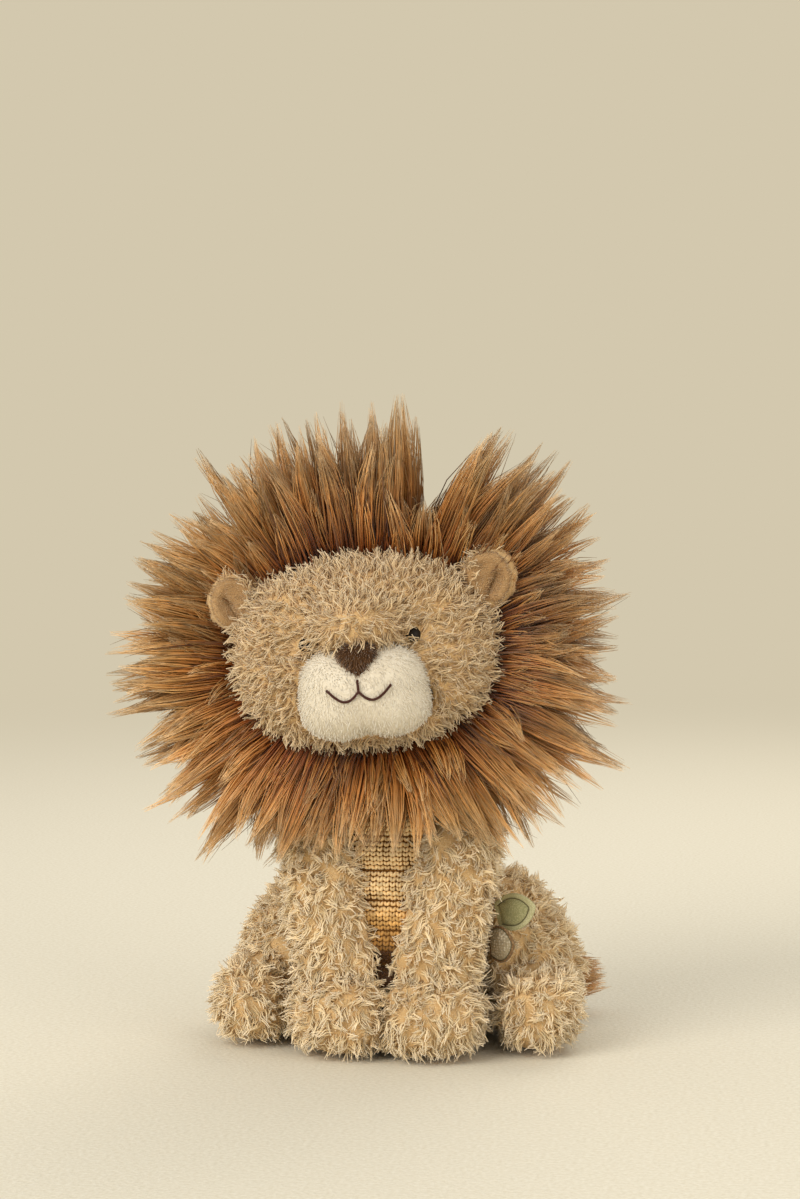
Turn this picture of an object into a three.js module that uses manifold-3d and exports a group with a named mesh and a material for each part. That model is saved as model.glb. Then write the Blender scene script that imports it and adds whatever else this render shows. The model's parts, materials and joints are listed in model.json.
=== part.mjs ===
// A sitting plush lion: stuffed torso, turning head with a long-pile mane, sewn legs, ears and tail.
// Millimetres, +X to the viewer's right, +Y to the back, +Z up. The origin is on the floor under the seat.
// Left and right are the viewer's. A share is a part of the size that it is multiplied by.
import * as THREE from "three";
import { mergeVertices } from "three/addons/utils/BufferGeometryUtils.js";
import Module from "manifold-3d";

const wasm = await Module();
wasm.setup();

// Clearances and cloth
const seamGap = 0.35; // air between two sewn pieces
const runningGap = 0.6; // air where one piece swings past another
const coverWall = 3; // plush backing and pile
const cutOverrun = 30; // how far a cutter runs past what it cuts
const soleFlat = 0.5; // depth of the flat under each paw

// Torso
const torsoHeight = 108; // floor to the neck seam
const torsoHalfWidth = 42;
const torsoHalfDepth = 41;
const torsoRowShares = [
  // height, half width, half depth, centre towards the back, lean towards the neck
  [0, 0.8, 0.8, 0.29, 0],
  [0.06, 0.87, 0.93, 0.29, 0],
  [0.25, 0.89, 1, 0.27, 0.03],
  [0.46, 0.89, 0.96, 0.22, 0.15],
  [0.64, 0.92, 0.87, 0.14, 0.4],
  [0.77, 0.95, 0.78, 0.05, 0.6],
  [0.88, 0.86, 0.7, -0.03, 0.8],
  [1.06, 0.6, 0.6, -0.1, 1],
];
const torsoHem = 5; // the torso rounds in below this
const torsoSides = 22;
const hollowRings = 7;
const hollowSides = 14;
const torsoPower = 2.2; // 2 is an ellipse, more is boxier

// Knitted chest panel
const chestHalfWidth = 19;
const chestReach = 16; // how far the panel runs back from the front of the belly
const tierPitch = 12; // height of one puffed tier
const tierPuff = 3; // how far a tier swells between its seams
const tierSteps = 4; // rings on each tier

// Seat and its pellet bag
const seatThickness = 2.4;
const beanBagHeight = 20;
const beanBagRings = 7;
const beanBagMargin = 2; // loose room round the bag

// Neck seam, where the head turns, and how the head is held in the photograph
const neckSide = -3; // the torso leans a little to the left
const neckBack = -4;
const neckRadius = 25;
const neckLean = 6; // degrees towards the left
const neckTurn = 4; // degrees towards the viewer's right
const neckBulge = 2; // swell of the short neck

// Head
const headHalfWidth = 50;
const headHalfDepth = 38;
const headHalfHeight = 37;
const headAbove = 47; // centre of the head above the neck seam
const headForward = 26; // centre of the head in front of the neck
const headPower = 2.3;
const headRings = 9;
const headSides = 20;
const faceRim = 6; // the face ends this far in front of the head's widest place

// Bridge over the nose
const bridgeHalfWidth = 17;
const bridgeHalfHeight = 12;
const bridgeHalfDepth = 20;
const bridgeAbove = 11; // above the centre of the head
const bridgeForward = 28; // in front of the centre of the head

// Muzzle
const muzzleHalfWidth = 23.4;
const muzzleHalfHeight = 17;
const muzzleBelow = 12.5; // centre below the centre of the head
const muzzleFront = 53; // its front in front of the centre of the head
const muzzleDepth = 30;
const muzzleTaper = 0.14; // narrower above
const muzzleFlat = 0.5; // share of its depth that rounds over
const muzzlePower = 2.5;
const dartDepth = 2.4; // pleat at the bottom of the muzzle
const dartSpread = 0.2; // radians

// Nose
const noseHalfWidth = 9.3;
const noseHalfHeight = 6.2;
const noseThickness = 11;
const noseBehind = 1; // its front lies this far behind the muzzle's
const noseAbove = 0.4; // centre above the centre of the head
const noseTaper = 0.42;

// Stitched mouth: places across and above the centre of the head
const stitchRadius = 0.7;
const mouthHalfWidth = 11.4;
const mouthAbove = -8.6; // where the two curves meet, against the centre of the head
const mouthSag = 3.2;
const mouthRise = 2.6;
const mouthFullness = 0.8; // under 1 the curve is lowest nearer the middle
const philtrumLength = 2.2;
const mouthSteps = 5;
const stitchSides = 5;

// Safety eyes
const eyeRadius = 3.2;
const eyeDome = 2.4;
const eyeSpacing = 41;
const eyeAbove = 7; // above the centre of the head
const eyeStemRadius = 1.6;
const eyeStemLength = 9;
const washerRadius = 5.5;
const washerThickness = 1.4;
const roundSides = 12;
const roundRings = 7;

// Ears
const earHalfWidth = 11.4;
const earHalfHeight = 12.6;
const earHalfDepth = 6.5;
const earRootShare = 0.85; // its seam lies this far from its centre towards the head
const earOut = 48; // centre across from the centre of the head
const earAbove = 24;
const earForward = 11;
const earWall = 2.6;
const earCupForward = 5.5; // the hollow is the same ball moved forward
const earFold = 1.6; // depth of the pleat in the lining
const earRings = 7;
const earSides = 12;
const earSwing = 15; // degrees each way

// Mane
const maneHalfWidth = 95;
const maneHalfHeight = 83;
const maneAbove = 6; // centre of the fan above the centre of the head
const manePower = 2.6; // 2 is an ellipse, more is boxier
const maneDepth = 74; // from the head's widest place to the tips behind
const manePad = 1.4; // fur backing outside the head ball
const maneFilled = 0.52; // share of a lock's length that lies in the mane's closed body
const maneDirections = 24; // round the fan
const maneRimAngle = 79; // where the body starts, from straight ahead
const lockRoot = 0.3; // a lock starts at this share of the way out
const lockHalfWidth = 8.4;
const lockThickness = 0.7; // share of its width
const lockSides = 4;
const lockBend = 6; // how far a lock bows
const lockStep = 0.1; // share of a lock over which its direction is taken
const innerRowWidth = 0.8; // width of the locks at the middle of the back, as a share
const partingWidth = 0.8; // width of the locks beside the parting, as a share
const lockRowShares = [
  // root angle from straight ahead, reach, depth of the tips, count
  [82, 0.9, -0.2, 24],
  [97, 1, 0.04, 26],
  [115, 0.96, 0.34, 18],
  [134, 0.78, 0.66, 12],
  [152, 0.52, 0.9, 8],
  [169, 0.2, 1, 4],
];
const lockProfileShares = [
  // along the lock, half width
  [0, 0.9],
  [0.33, 1],
  [0.68, 0.56],
  [1, 0],
];
const partingAngle = 65; // degrees from the right, counted in the head's own frame
const partingSpread = 4; // the locks lean this far away from the parting
const partingReach = 16; // how far round the fan the parting is felt
const panelAngles = {
  mane_crown_right: [18, partingAngle],
  mane_crown_left: [partingAngle, 150],
  mane_cheek_left: [150, 216],
  mane_bib: [216, 324],
  mane_cheek_right: [324, 378],
};
const neckRoomShare = -0.55; // the inner rows of locks stop above this on the fan, where the neck is
const neckRowAngle = 140; // rows inside this angle are clear of the neck
const backPanelAngle = 126; // the back panel lies inside this cone
const skirtRadius = 54; // the mane hangs outside this round the neck
const skirtTop = -6; // against the neck seam
const collarRadius = 28;
const collarTop = 3;

// Front legs
const frontLegSpread = 27; // centre of the top from the middle
const frontLegLean = -6.5; // the paw stands nearer the middle
const frontLegForward = 25;
const frontLegBottom = 22;
const frontLegTop = 98;
const frontLegHalfWidth = 15.8;
const frontLegHalfDepth = 16.5;
const frontLegRowShares = [
  // height, half width, half depth, how far down the lean it is, centre forward
  [0, 0.86, 0.86, 1, 1.05],
  [0.2, 0.95, 0.94, 0.82, 1.03],
  [0.45, 1, 0.98, 0.5, 1],
  [0.75, 1.02, 1, 0.14, 0.97],
  [1, 0.96, 0.96, 0, 0.95],
];
const frontLegPlaceShares = [0, 0.2, 0.42, 0.64, 0.78, 0.88, 0.95, 0.985, 1]; // rings up the leg
const frontLegRounding = 0.22; // share of the height that rounds over at the top
const frontSwing = 15; // degrees forward
const shoulderBack = 4; // the shoulder seam behind the leg's centre line
const shoulderDown = 3; // the shoulder seam below the leg's top

// Front paws
const frontPawSpread = 20.2;
const frontPawForward = 28;
const frontPawHalfWidth = 17.2;
const frontPawHalfDepth = 21;
const frontPawHeight = 33;

// Hind legs
const hipPlane = 36.6; // inner face of the haunch
const hipBack = 21;
const hipHeight = 33;
const haunchRadius = 34;
const haunchThickness = 32.5;
const haunchRowShares = [
  // outwards, radius front to back, radius up and down, centre down
  [0, 1, 1, 0],
  [0.24, 0.97, 0.95, 0.03],
  [0.48, 0.9, 0.83, 0.11],
  [0.7, 0.77, 0.68, 0.2],
  [0.88, 0.56, 0.52, 0.25],
  [1, 0.4, 0.36, 0.27],
];
const haunchRounding = 0.3; // share of the thickness that rounds over outside
const haunchRings = 9;
const limbSides = 16;
const hindPawSpread = 55.2;
const hindPawForward = 8;
const hindPawHalfWidth = 16.2;
const hindPawHalfDepth = 24;
const hindPawHeight = 33;
const pawRings = 7;
const pawPower = 2.3;

// Stuffing holes in the limbs
const fillHoleShare = 0.8; // height of the hole on a front leg
const fillHoleRadius = 7;
const haunchHoleRadius = 14;
const fillSides = 12;

// Tail
const tailRadius = 6.5;
const tailTipRadius = 5;
const tailHeight = 17;
const tailRootInset = 3.5; // the seam lies this far inside the torso's back
const tailSides = 10;
const tailSteps = 10;
const tailLength = 62;
const tailRouteShares = [
  // sideways, back, up: as shares of the tail's length
  [0, 0, 0],
  [0.12, 0.16, -0.037],
  [0.31, 0.275, -0.09],
  [0.5, 0.32, -0.1],
  [0.68, 0.32, -0.09],
  [0.82, 0.3, -0.06],
];
const tuftLength = 26;
const tuftRadius = 8.5;
const tuftLocks = 6;
const outerTuftLength = 0.86; // the outer locks' length and spread as shares of the middle one's
const outerTuftSpread = 0.75;
const tailSwing = 55; // degrees from the right haunch round to the left

// Leaf tabs in the side seam
const leafThickness = 2.2;
const leafLength = 27;
const leafHalfWidth = 7.6;
const leafRootHalfWidth = 2.6;
const leafTipShare = 0.9; // how square its tip is
const leafCurveSteps = 6;
const leafRootOut = 32.6;
const leafRootBack = -10.4;
const leafs = {
  // root above the floor, degrees forward from straight across, degrees up, share of the length
  leaf_tab_upper: { up: 50, slant: 29, rise: 17, lengthShare: 1 },
  leaf_tab_lower: { up: 41, slant: 45, rise: 7, lengthShare: 0.76 },
};

// Colours of the plush, minky, knit and fur
const plushTan = 0xc3a279;
const minkyCream = 0xe6dfcd;
const minkyBrown = 0x6e5440;
const minkyTan = 0xa9835a;
const stitchBrown = 0x3d150c;
const knitGold = 0xb8893f;
const furCaramel = 0x9a6433;
const eyeBlack = 0x17110d;
const washerWhite = 0xe9e6df;
const fillWhite = 0xf2efe8;
const pelletCloth = 0xd8d2c4;
const leafSage = 0xa3a685;
const leafBeige = 0xb3a48b;
const clothRoughness = 0.95;
const threadRoughness = 0.5;
const washerRoughness = 0.5;
const eyeRoughness = 0.12;

const X = new THREE.Vector3(1, 0, 0);
const Y = new THREE.Vector3(0, 1, 0);
const Z = new THREE.Vector3(0, 0, 1);
const { degToRad, lerp, clamp } = THREE.MathUtils;

// Solids: three.js makes the shapes, and they are joined and cut as manifold solids.

// A three.js geometry as a solid that can be joined and cut.
function solidOf(geometry) {
  const bare = geometry.clone();
  bare.deleteAttribute("normal");
  bare.deleteAttribute("uv");
  const merged = mergeVertices(bare);
  return new wasm.Manifold(
    new wasm.Mesh({
      numProp: 3,
      vertProperties: new Float32Array(merged.attributes.position.array),
      triVerts: new Uint32Array(merged.index.array),
    }),
  );
}

// A solid back as a three.js geometry.
function geometryOf(solid) {
  const made = solid.getMesh();
  const geometry = new THREE.BufferGeometry();
  geometry.setAttribute("position", new THREE.BufferAttribute(made.vertProperties, 3));
  geometry.setIndex(new THREE.BufferAttribute(made.triVerts, 1));
  geometry.computeVertexNormals();
  return geometry;
}

// A named piece of the toy in its own cloth or plastic.
function piece(name, solid, color, roughness = clothRoughness) {
  const material = new THREE.MeshStandardMaterial({ color, roughness, metalness: 0 });
  const mesh = new THREE.Mesh(geometryOf(solid), material);
  mesh.name = name;
  return mesh;
}

// The main body of a cut solid, without crumbs that a cut leaves at its edge.
function mainBody(solid) {
  return solid.decompose().reduce((a, b) => (b.volume() > a.volume() ? b : a));
}

// A turn of the given degrees about an axis through a point.
function turnAbout(point, axis, degrees) {
  return new THREE.Matrix4()
    .makeTranslation(point)
    .multiply(new THREE.Matrix4().makeRotationAxis(axis, degToRad(degrees)))
    .multiply(new THREE.Matrix4().makeTranslation(point.clone().negate()));
}

function moved(solid, matrix) {
  return solid.transform(matrix.elements);
}

// A solid cut clear of another one at several places of a swing from the first angle to the last.
function clearOfSwing(solid, other, point, axis, first, last, steps) {
  let cut = solid;
  for (let i = 0; i <= steps; i++) {
    const back = turnAbout(point, axis, -lerp(first, last, i / steps));
    cut = cut.subtract(moved(other, back));
  }
  return cut;
}

// One row of a table of shares, curved smoothly between the rows that are written.
function rowAt(rows, at) {
  const last = rows.length - 1;
  let i = 0;
  while (i < last - 1 && rows[i + 1][0] < at) i++;
  const [before, start] = [rows[Math.max(i - 1, 0)], rows[i]];
  const [end, after] = [rows[i + 1], rows[Math.min(i + 2, last)]];
  const span = end[0] - start[0];
  const t = clamp((at - start[0]) / span, 0, 1);
  return start.map((value, column) => {
    const leaving = ((end[column] - before[column]) / (end[0] - before[0])) * span;
    const arriving = ((after[column] - value) / (after[0] - start[0])) * span;
    const rise = end[column] - value;
    const curve = (leaving - rise) * (1 - t) - (arriving - rise) * t;
    return value + rise * t + t * (1 - t) * curve;
  });
}

// How full a shape is along its length when each end rounds over in the given share of it.
function domed(at, startShare, endShare) {
  const from = startShare > 0 ? clamp(1 - at / startShare, 0, 1) : 0;
  const to = endShare > 0 ? clamp(1 - (1 - at) / endShare, 0, 1) : 0;
  return Math.sqrt(Math.max(0, 1 - from * from)) * Math.sqrt(Math.max(0, 1 - to * to));
}

// Places along a length, closer together at its two ends.
function endCloser(count) {
  return Array.from({ length: count }, (_, i) => (1 - Math.cos((Math.PI * i) / (count - 1))) / 2);
}

// A ring of points round a centre: across and up hold its two half sizes as vectors.
function ring({ centre, across, up }, sides, power = 2) {
  if (across.length() === 0) return [centre.clone()];
  return Array.from({ length: sides }, (_, i) => {
    const angle = (2 * Math.PI * i) / sides;
    const [c, s] = [Math.cos(angle), Math.sin(angle)];
    return centre
      .clone()
      .addScaledVector(across, Math.sign(c) * Math.abs(c) ** (2 / power))
      .addScaledVector(up, Math.sign(s) * Math.abs(s) ** (2 / power));
  });
}

// A closed geometry over rings of points. A ring of one point is a pole, and other ends are closed flat.
function skin(rings) {
  const position = [];
  const index = [];
  const put = (p) => position.push(p.x, p.y, p.z) / 3 - 1;
  const firsts = rings.map((points) => points.map(put)[0]);
  const around = Math.max(...rings.map((points) => points.length));
  const at = (i, j) => firsts[i] + (rings[i].length === 1 ? 0 : j % around);
  for (let i = 0; i + 1 < rings.length; i++) {
    for (let j = 0; j < around; j++) {
      if (rings[i].length > 1) index.push(at(i, j), at(i, j + 1), at(i + 1, j));
      if (rings[i + 1].length > 1) index.push(at(i, j + 1), at(i + 1, j + 1), at(i + 1, j));
    }
  }
  for (const [i, flip] of [[0, true], [rings.length - 1, false]]) {
    if (rings[i].length === 1) continue;
    const middle = new THREE.Vector3();
    rings[i].forEach((p) => middle.addScaledVector(p, 1 / around));
    const hub = put(middle);
    for (let j = 0; j < around; j++) {
      index.push(hub, at(i, flip ? j + 1 : j), at(i, flip ? j : j + 1));
    }
  }
  const geometry = new THREE.BufferGeometry();
  geometry.setAttribute("position", new THREE.Float32BufferAttribute(position, 3));
  return geometry.setIndex(index);
}

// The same geometry with its surface moved outwards, or inwards where the distance is negative.
function grown(geometry, distance) {
  if (distance === 0) return geometry;
  const copy = geometry.clone();
  copy.computeVertexNormals();
  const { position, normal } = copy.attributes;
  for (let i = 0; i < position.count; i++) {
    position.setXYZ(
      i,
      position.getX(i) + normal.getX(i) * distance,
      position.getY(i) + normal.getY(i) * distance,
      position.getZ(i) + normal.getZ(i) * distance,
    );
  }
  return copy;
}

// A superellipsoid ball.
function ball({ centre, halfWidth, halfDepth, halfHeight }, rings, sides, power = 2) {
  return skin(
    endCloser(rings).map((at) => {
      const along = 2 * at - 1;
      const full = at === 0 || at === 1 ? 0 : Math.max(0, 1 - Math.abs(along) ** power) ** (1 / power);
      return ring(
        {
          centre: centre.clone().addScaledVector(Y, along * halfDepth),
          across: Z.clone().multiplyScalar(full * halfHeight),
          up: X.clone().multiplyScalar(full * halfWidth),
        },
        sides,
        power,
      );
    }),
  );
}

// A box between two corners.
function box(low, high) {
  const size = high.clone().sub(low);
  const geometry = new THREE.BoxGeometry(size.x, size.y, size.z);
  return solidOf(geometry.translate(...low.clone().addScaledVector(size, 1 / 2).toArray()));
}

// A round pin from one point to another.
function pin(from, to, radius, sides = roundSides) {
  const along = to.clone().sub(from);
  const geometry = new THREE.CylinderGeometry(radius, radius, along.length(), sides);
  geometry.applyQuaternion(new THREE.Quaternion().setFromUnitVectors(Y, along.clone().normalize()));
  return solidOf(geometry.translate(...from.clone().addScaledVector(along, 1 / 2).toArray()));
}

// Halves of the space, for cuts.
const far = torsoHeight + maneHalfHeight + cutOverrun;
const farCorner = new THREE.Vector3(far, far, far);
const nearCorner = farCorner.clone().negate();
const below = (height) => box(nearCorner, farCorner.clone().setZ(height));
const above = (height) => box(nearCorner.clone().setZ(height), farCorner);
const inFrontOf = (depth) => box(nearCorner, farCorner.clone().setY(depth));
const behind = (depth) => box(nearCorner.clone().setY(depth), farCorner);
const leftOf = (side) => box(nearCorner, farCorner.clone().setX(side));
const rightOf = (side) => box(nearCorner.clone().setX(side), farCorner);
const belowFloor = below(0);
const mirror = (solid) => solid.mirror([1, 0, 0]);

// The head's frame: its origin is the middle of the neck seam.
const neckSeam = new THREE.Vector3(neckSide, neckBack, torsoHeight);
const headFrame = new THREE.Matrix4()
  .makeTranslation(neckSeam)
  .multiply(new THREE.Matrix4().makeRotationY(degToRad(-neckLean)))
  .multiply(new THREE.Matrix4().makeRotationZ(degToRad(neckTurn)));

// Torso

function torsoRing(height, grow = 0) {
  const [, width, depth, back, lean] = rowAt(torsoRowShares, height / torsoHeight);
  return {
    centre: new THREE.Vector3(neckSide * lean, torsoHalfDepth * back, height),
    across: X.clone().multiplyScalar(torsoHalfWidth * width + grow),
    up: Y.clone().multiplyScalar(torsoHalfDepth * depth + grow),
  };
}

// The torso's rings lie at the seams of the tiers, and run a little past the neck.
const torsoTop = torsoHeight * torsoRowShares.at(-1)[0];
const seamHeights = Array.from({ length: Math.floor(torsoTop / tierPitch) + 1 }, (_, i) => i * tierPitch);
const torsoHeights = [...seamHeights, torsoHem, torsoTop].sort((a, b) => a - b);

function torsoShape(grow = 0) {
  return solidOf(skin(torsoHeights.map((height) => ring(torsoRing(height, grow), torsoSides, torsoPower))));
}

// A ring of the torso's straight side between two of its rings.
function sideRing(height, puff) {
  const next = Math.max(1, torsoHeights.findIndex((h) => h >= height));
  const [low, high] = [torsoHeights[next - 1], torsoHeights[next]];
  const t = (height - low) / (high - low);
  const [from, to] = [torsoRing(low, puff), torsoRing(high, puff)];
  return {
    centre: from.centre.lerp(to.centre, t),
    across: from.across.lerp(to.across, t),
    up: from.up.lerp(to.up, t),
  };
}

// The knitted panel's own outer shape: it swells between the seams of its tiers.
function tieredShape() {
  const step = tierPitch / tierSteps;
  const count = Math.floor(torsoTop / step) + 1;
  const puffAt = (i) => tierPuff * Math.sin((Math.PI * (i % tierSteps)) / tierSteps);
  const rings = Array.from({ length: count }, (_, i) => sideRing(i * step, puffAt(i)));
  return solidOf(skin(rings.map((size) => ring(size, torsoSides, torsoPower))));
}

// Everything above the neck seam, leaning as the neck does.
function aboveNeck(lowered) {
  return moved(above(-lowered), headFrame);
}

// The hollow inside the torso's cover, open above and below.
function torsoHollow(shrink = 0) {
  const heights = Array.from({ length: hollowRings }, (_, i) => (torsoTop * i) / (hollowRings - 1));
  const grow = -coverWall - shrink;
  return solidOf(skin(heights.map((height) => ring(torsoRing(height, grow), hollowSides, torsoPower))));
}

// The room in which a haunch swings.
function hipRoom(grow) {
  const radius = (haunchRadius + grow) / Math.cos(Math.PI / limbSides);
  const out = (side) => new THREE.Vector3(side, hipBack, hipHeight);
  return pin(out(hipPlane - grow), out(hipPlane + haunchThickness + cutOverrun), radius, limbSides);
}

// The front strip of the torso where the knitted panel lies.
function chestStrip(grow) {
  const back = torsoHalfDepth * torsoRowShares[0][3] - torsoHalfDepth + chestReach;
  return box(
    new THREE.Vector3(-chestHalfWidth - grow, -far, -far),
    new THREE.Vector3(chestHalfWidth + grow, back + grow, far),
  );
}

function makeTorsoCovers(tail) {
  const hips = hipRoom(runningGap);
  const neckCut = aboveNeck(seamGap / 2);
  const lowered = new THREE.Matrix4().makeTranslation(0, 0, -coverWall);
  const hollow = torsoHollow().add(moved(torsoHollow(), lowered));
  const trim = (solid) =>
    solid.subtract(hollow).subtract(neckCut).subtract(hips).subtract(mirror(hips)).subtract(belowFloor);
  const cover = trim(torsoShape()).subtract(chestStrip(seamGap)).subtract(tail.socket);
  const half = rightOf(seamGap / 2);
  return {
    back_right: mainBody(cover.intersect(half)),
    back_left: mainBody(cover.intersect(mirror(half))),
    chest_panel: mainBody(trim(tieredShape()).intersect(chestStrip(0))),
  };
}

function makeSeat() {
  return torsoHollow(seamGap).subtract(above(seatThickness)).subtract(belowFloor);
}

function beanBagShape(grow) {
  const bottom = seatThickness + seamGap;
  const places = endCloser(beanBagRings);
  return solidOf(
    skin(
      places.map((at, i) => {
        const height = bottom - grow + (beanBagHeight + 2 * grow) * at;
        const full = i === 0 || i === places.length - 1 ? 0 : domed(at, 1 / 2, 1 / 2);
        const { centre, across, up } = torsoRing(height, -coverWall - beanBagMargin);
        return ring(
          {
            centre: centre.setZ(height),
            across: across.multiplyScalar(full).addScaledVector(X, full > 0 ? grow : 0),
            up: up.multiplyScalar(full).addScaledVector(Y, full > 0 ? grow : 0),
          },
          limbSides,
          torsoPower,
        );
      }),
    ),
  );
}

function makeTorsoStuffing(tail) {
  const hips = hipRoom(runningGap + coverWall);
  return mainBody(
    torsoHollow(seamGap)
      .subtract(below(seatThickness + seamGap))
      .subtract(beanBagShape(seamGap))
      .subtract(aboveNeck(seamGap / 2))
      .subtract(hips)
      .subtract(mirror(hips))
      .subtract(tail.socket),
  );
}

// Head: everything here is in the head's own frame.

const headCentre = new THREE.Vector3(0, -headForward, headAbove);
const headBallSize = {
  centre: headCentre,
  halfWidth: headHalfWidth,
  halfDepth: headHalfDepth,
  halfHeight: headHalfHeight,
};

function headBall(grow, rings = headRings, sides = headSides) {
  return solidOf(grown(ball(headBallSize, rings, sides, headPower), grow));
}

function onHead(across, forward, above) {
  return headCentre.clone().add(new THREE.Vector3(across, -forward, above));
}

function faceShape(grow) {
  const bridge = ball(
    {
      centre: onHead(0, bridgeForward, bridgeAbove),
      halfWidth: bridgeHalfWidth,
      halfDepth: bridgeHalfDepth,
      halfHeight: bridgeHalfHeight,
    },
    pawRings,
    limbSides,
  );
  return headBall(grow).add(solidOf(grown(bridge, grow)));
}

function muzzleShape(grow = 0) {
  const front = headForward + muzzleFront;
  const rings = endCloser(pawRings).map((at, i) => {
    const full = i === 0 ? 0 : domed(at, muzzleFlat, 0);
    const centre = new THREE.Vector3(0, -front + muzzleDepth * at, headAbove - muzzleBelow);
    const round = ring({ centre, across: Z.clone().multiplyScalar(full), up: X.clone().multiplyScalar(full) },
      headSides, muzzlePower);
    return round.map((p) => {
      const [side, rise] = [p.x, p.z - centre.z];
      const fromDart = Math.atan2(side, -rise);
      const dart = dartDepth * full * Math.exp(-((fromDart / dartSpread) ** 2));
      const widening = 1 - muzzleTaper * rise;
      return centre.clone().add(
        new THREE.Vector3(side * muzzleHalfWidth * widening, 0, rise * muzzleHalfHeight + dart),
      );
    });
  });
  rings[0] = [rings[0][0]];
  return solidOf(grown(skin(rings), grow));
}

function noseShape(grow = 0) {
  const front = headForward + muzzleFront - noseBehind;
  const rings = endCloser(pawRings).map((at, i, places) => {
    const full = i === 0 || i === places.length - 1 ? 0 : domed(at, 1 / 2, 1 / 2);
    const centre = new THREE.Vector3(0, -front + noseThickness * at, headAbove + noseAbove);
    const size = { centre, across: Z.clone().multiplyScalar(full), up: X.clone().multiplyScalar(full) };
    return ring(size, limbSides, muzzlePower).map((p) => {
      const [side, rise] = [p.x, p.z - centre.z];
      const widening = 1 + noseTaper * (rise - 1) * (full > 0 ? 1 : 0);
      return centre.clone().add(
        new THREE.Vector3(side * noseHalfWidth * widening, 0, rise * noseHalfHeight),
      );
    });
  });
  return solidOf(grown(skin(rings), grow));
}

// Where a line straight back from the front meets a solid.
function frontOf(geometry, across, above) {
  const mesh = new THREE.Mesh(geometry);
  const from = new THREE.Vector3(across, -far, above);
  const [hit] = new THREE.Raycaster(from, Y).intersectObject(mesh);
  return hit.point;
}

// A stitched line through points on the muzzle.
function stitchedLine(points) {
  const path = new THREE.CatmullRomCurve3(points);
  const places = Array.from({ length: points.length * 2 - 1 }, (_, i) => i / (points.length * 2 - 2));
  const rings = places.map((at) => {
    const tangent = path.getTangent(at);
    const across = new THREE.Vector3().crossVectors(Y, tangent).normalize();
    const up = new THREE.Vector3().crossVectors(tangent, across).normalize();
    const size = { centre: path.getPoint(at), across: across.multiplyScalar(stitchRadius) };
    return ring({ ...size, up: up.multiplyScalar(stitchRadius) }, stitchSides);
  });
  return solidOf(skin(rings));
}

function makeMouth() {
  const muzzle = geometryOf(muzzleShape());
  const proud = -stitchRadius - runningGap;
  const onMuzzle = (across, above) => frontOf(muzzle, across, headAbove + above).addScaledVector(Y, proud);
  const curve = (side) =>
    Array.from({ length: mouthSteps }, (_, i) => {
      const t = i / (mouthSteps - 1);
      const sag = mouthSag * Math.sin(Math.PI * t ** mouthFullness);
      return onMuzzle(side * mouthHalfWidth * t, mouthAbove - sag + mouthRise * t * t);
    });
  const philtrum = [1, 1 / 2, 0].map((t) => onMuzzle(0, mouthAbove + philtrumLength * t));
  return [curve(1), curve(-1), philtrum].map(stitchedLine).reduce((a, b) => a.add(b));
}

// Directions of the safety eyes: straight out of the head ball where they sit.
function eyePlace(side) {
  const across = (side * eyeSpacing) / 2;
  const surface = frontOf(geometryOf(headBall(0)), across, headAbove + eyeAbove);
  const fromCentre = surface.clone().sub(headCentre);
  const out = new THREE.Vector3(
    fromCentre.x / headHalfWidth ** 2,
    fromCentre.y / headHalfDepth ** 2,
    fromCentre.z / headHalfHeight ** 2,
  ).normalize();
  return { surface, out };
}

function makeEye(side, grow = 0) {
  const { surface, out } = eyePlace(side);
  const seat = surface.clone().addScaledVector(out, seamGap);
  const dome = new THREE.SphereGeometry(eyeRadius + grow, roundSides, roundRings);
  dome.scale(1, (eyeDome + grow) / (eyeRadius + grow), 1);
  dome.applyQuaternion(new THREE.Quaternion().setFromUnitVectors(Y, out));
  dome.translate(...seat.toArray());
  const inside = pin(seat, seat.clone().addScaledVector(out, -eyeDome - cutOverrun), eyeRadius + cutOverrun);
  const stem = pin(
    seat.clone().addScaledVector(out, eyeDome / 2),
    seat.clone().addScaledVector(out, -eyeStemLength - grow),
    eyeStemRadius + grow,
  );
  return solidOf(dome).subtract(inside).add(stem);
}

function makeWasher(side, grow = 0) {
  const { surface, out } = eyePlace(side);
  const near = surface.clone().addScaledVector(out, -coverWall - runningGap + grow);
  const end = near.clone().addScaledVector(out, -washerThickness - 2 * grow);
  const disc = pin(near, end, washerRadius + grow);
  if (grow > 0) return disc;
  const hole = pin(near.clone().addScaledVector(out, cutOverrun),
    end.clone().addScaledVector(out, -cutOverrun), eyeStemRadius + seamGap);
  return disc.subtract(hole);
}

function headHollow(shrink = 0) {
  return headBall(-coverWall - shrink, hollowRings, hollowSides);
}

function makeFace() {
  return mainBody(
    faceShape(0)
      .subtract(headHollow())
      .subtract(behind(headCentre.y - faceRim))
      .subtract(muzzleShape(seamGap))
      .subtract(noseShape(seamGap))
      .subtract(makeEye(1, seamGap))
      .subtract(makeEye(-1, seamGap))
      .subtract(makeWasher(1, seamGap))
      .subtract(makeWasher(-1, seamGap)),
  );
}

function makeMuzzle() {
  return mainBody(
    muzzleShape()
      .subtract(headBall(-coverWall / 2))
      .subtract(noseShape(seamGap)),
  );
}

function makeNose() {
  return mainBody(noseShape().subtract(headBall(seamGap)));
}

function makeHeadStuffing() {
  return [1, -1].reduce(
    (solid, side) => solid.subtract(makeEye(side, seamGap)).subtract(makeWasher(side, seamGap)),
    headHollow(seamGap),
  );
}

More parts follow.
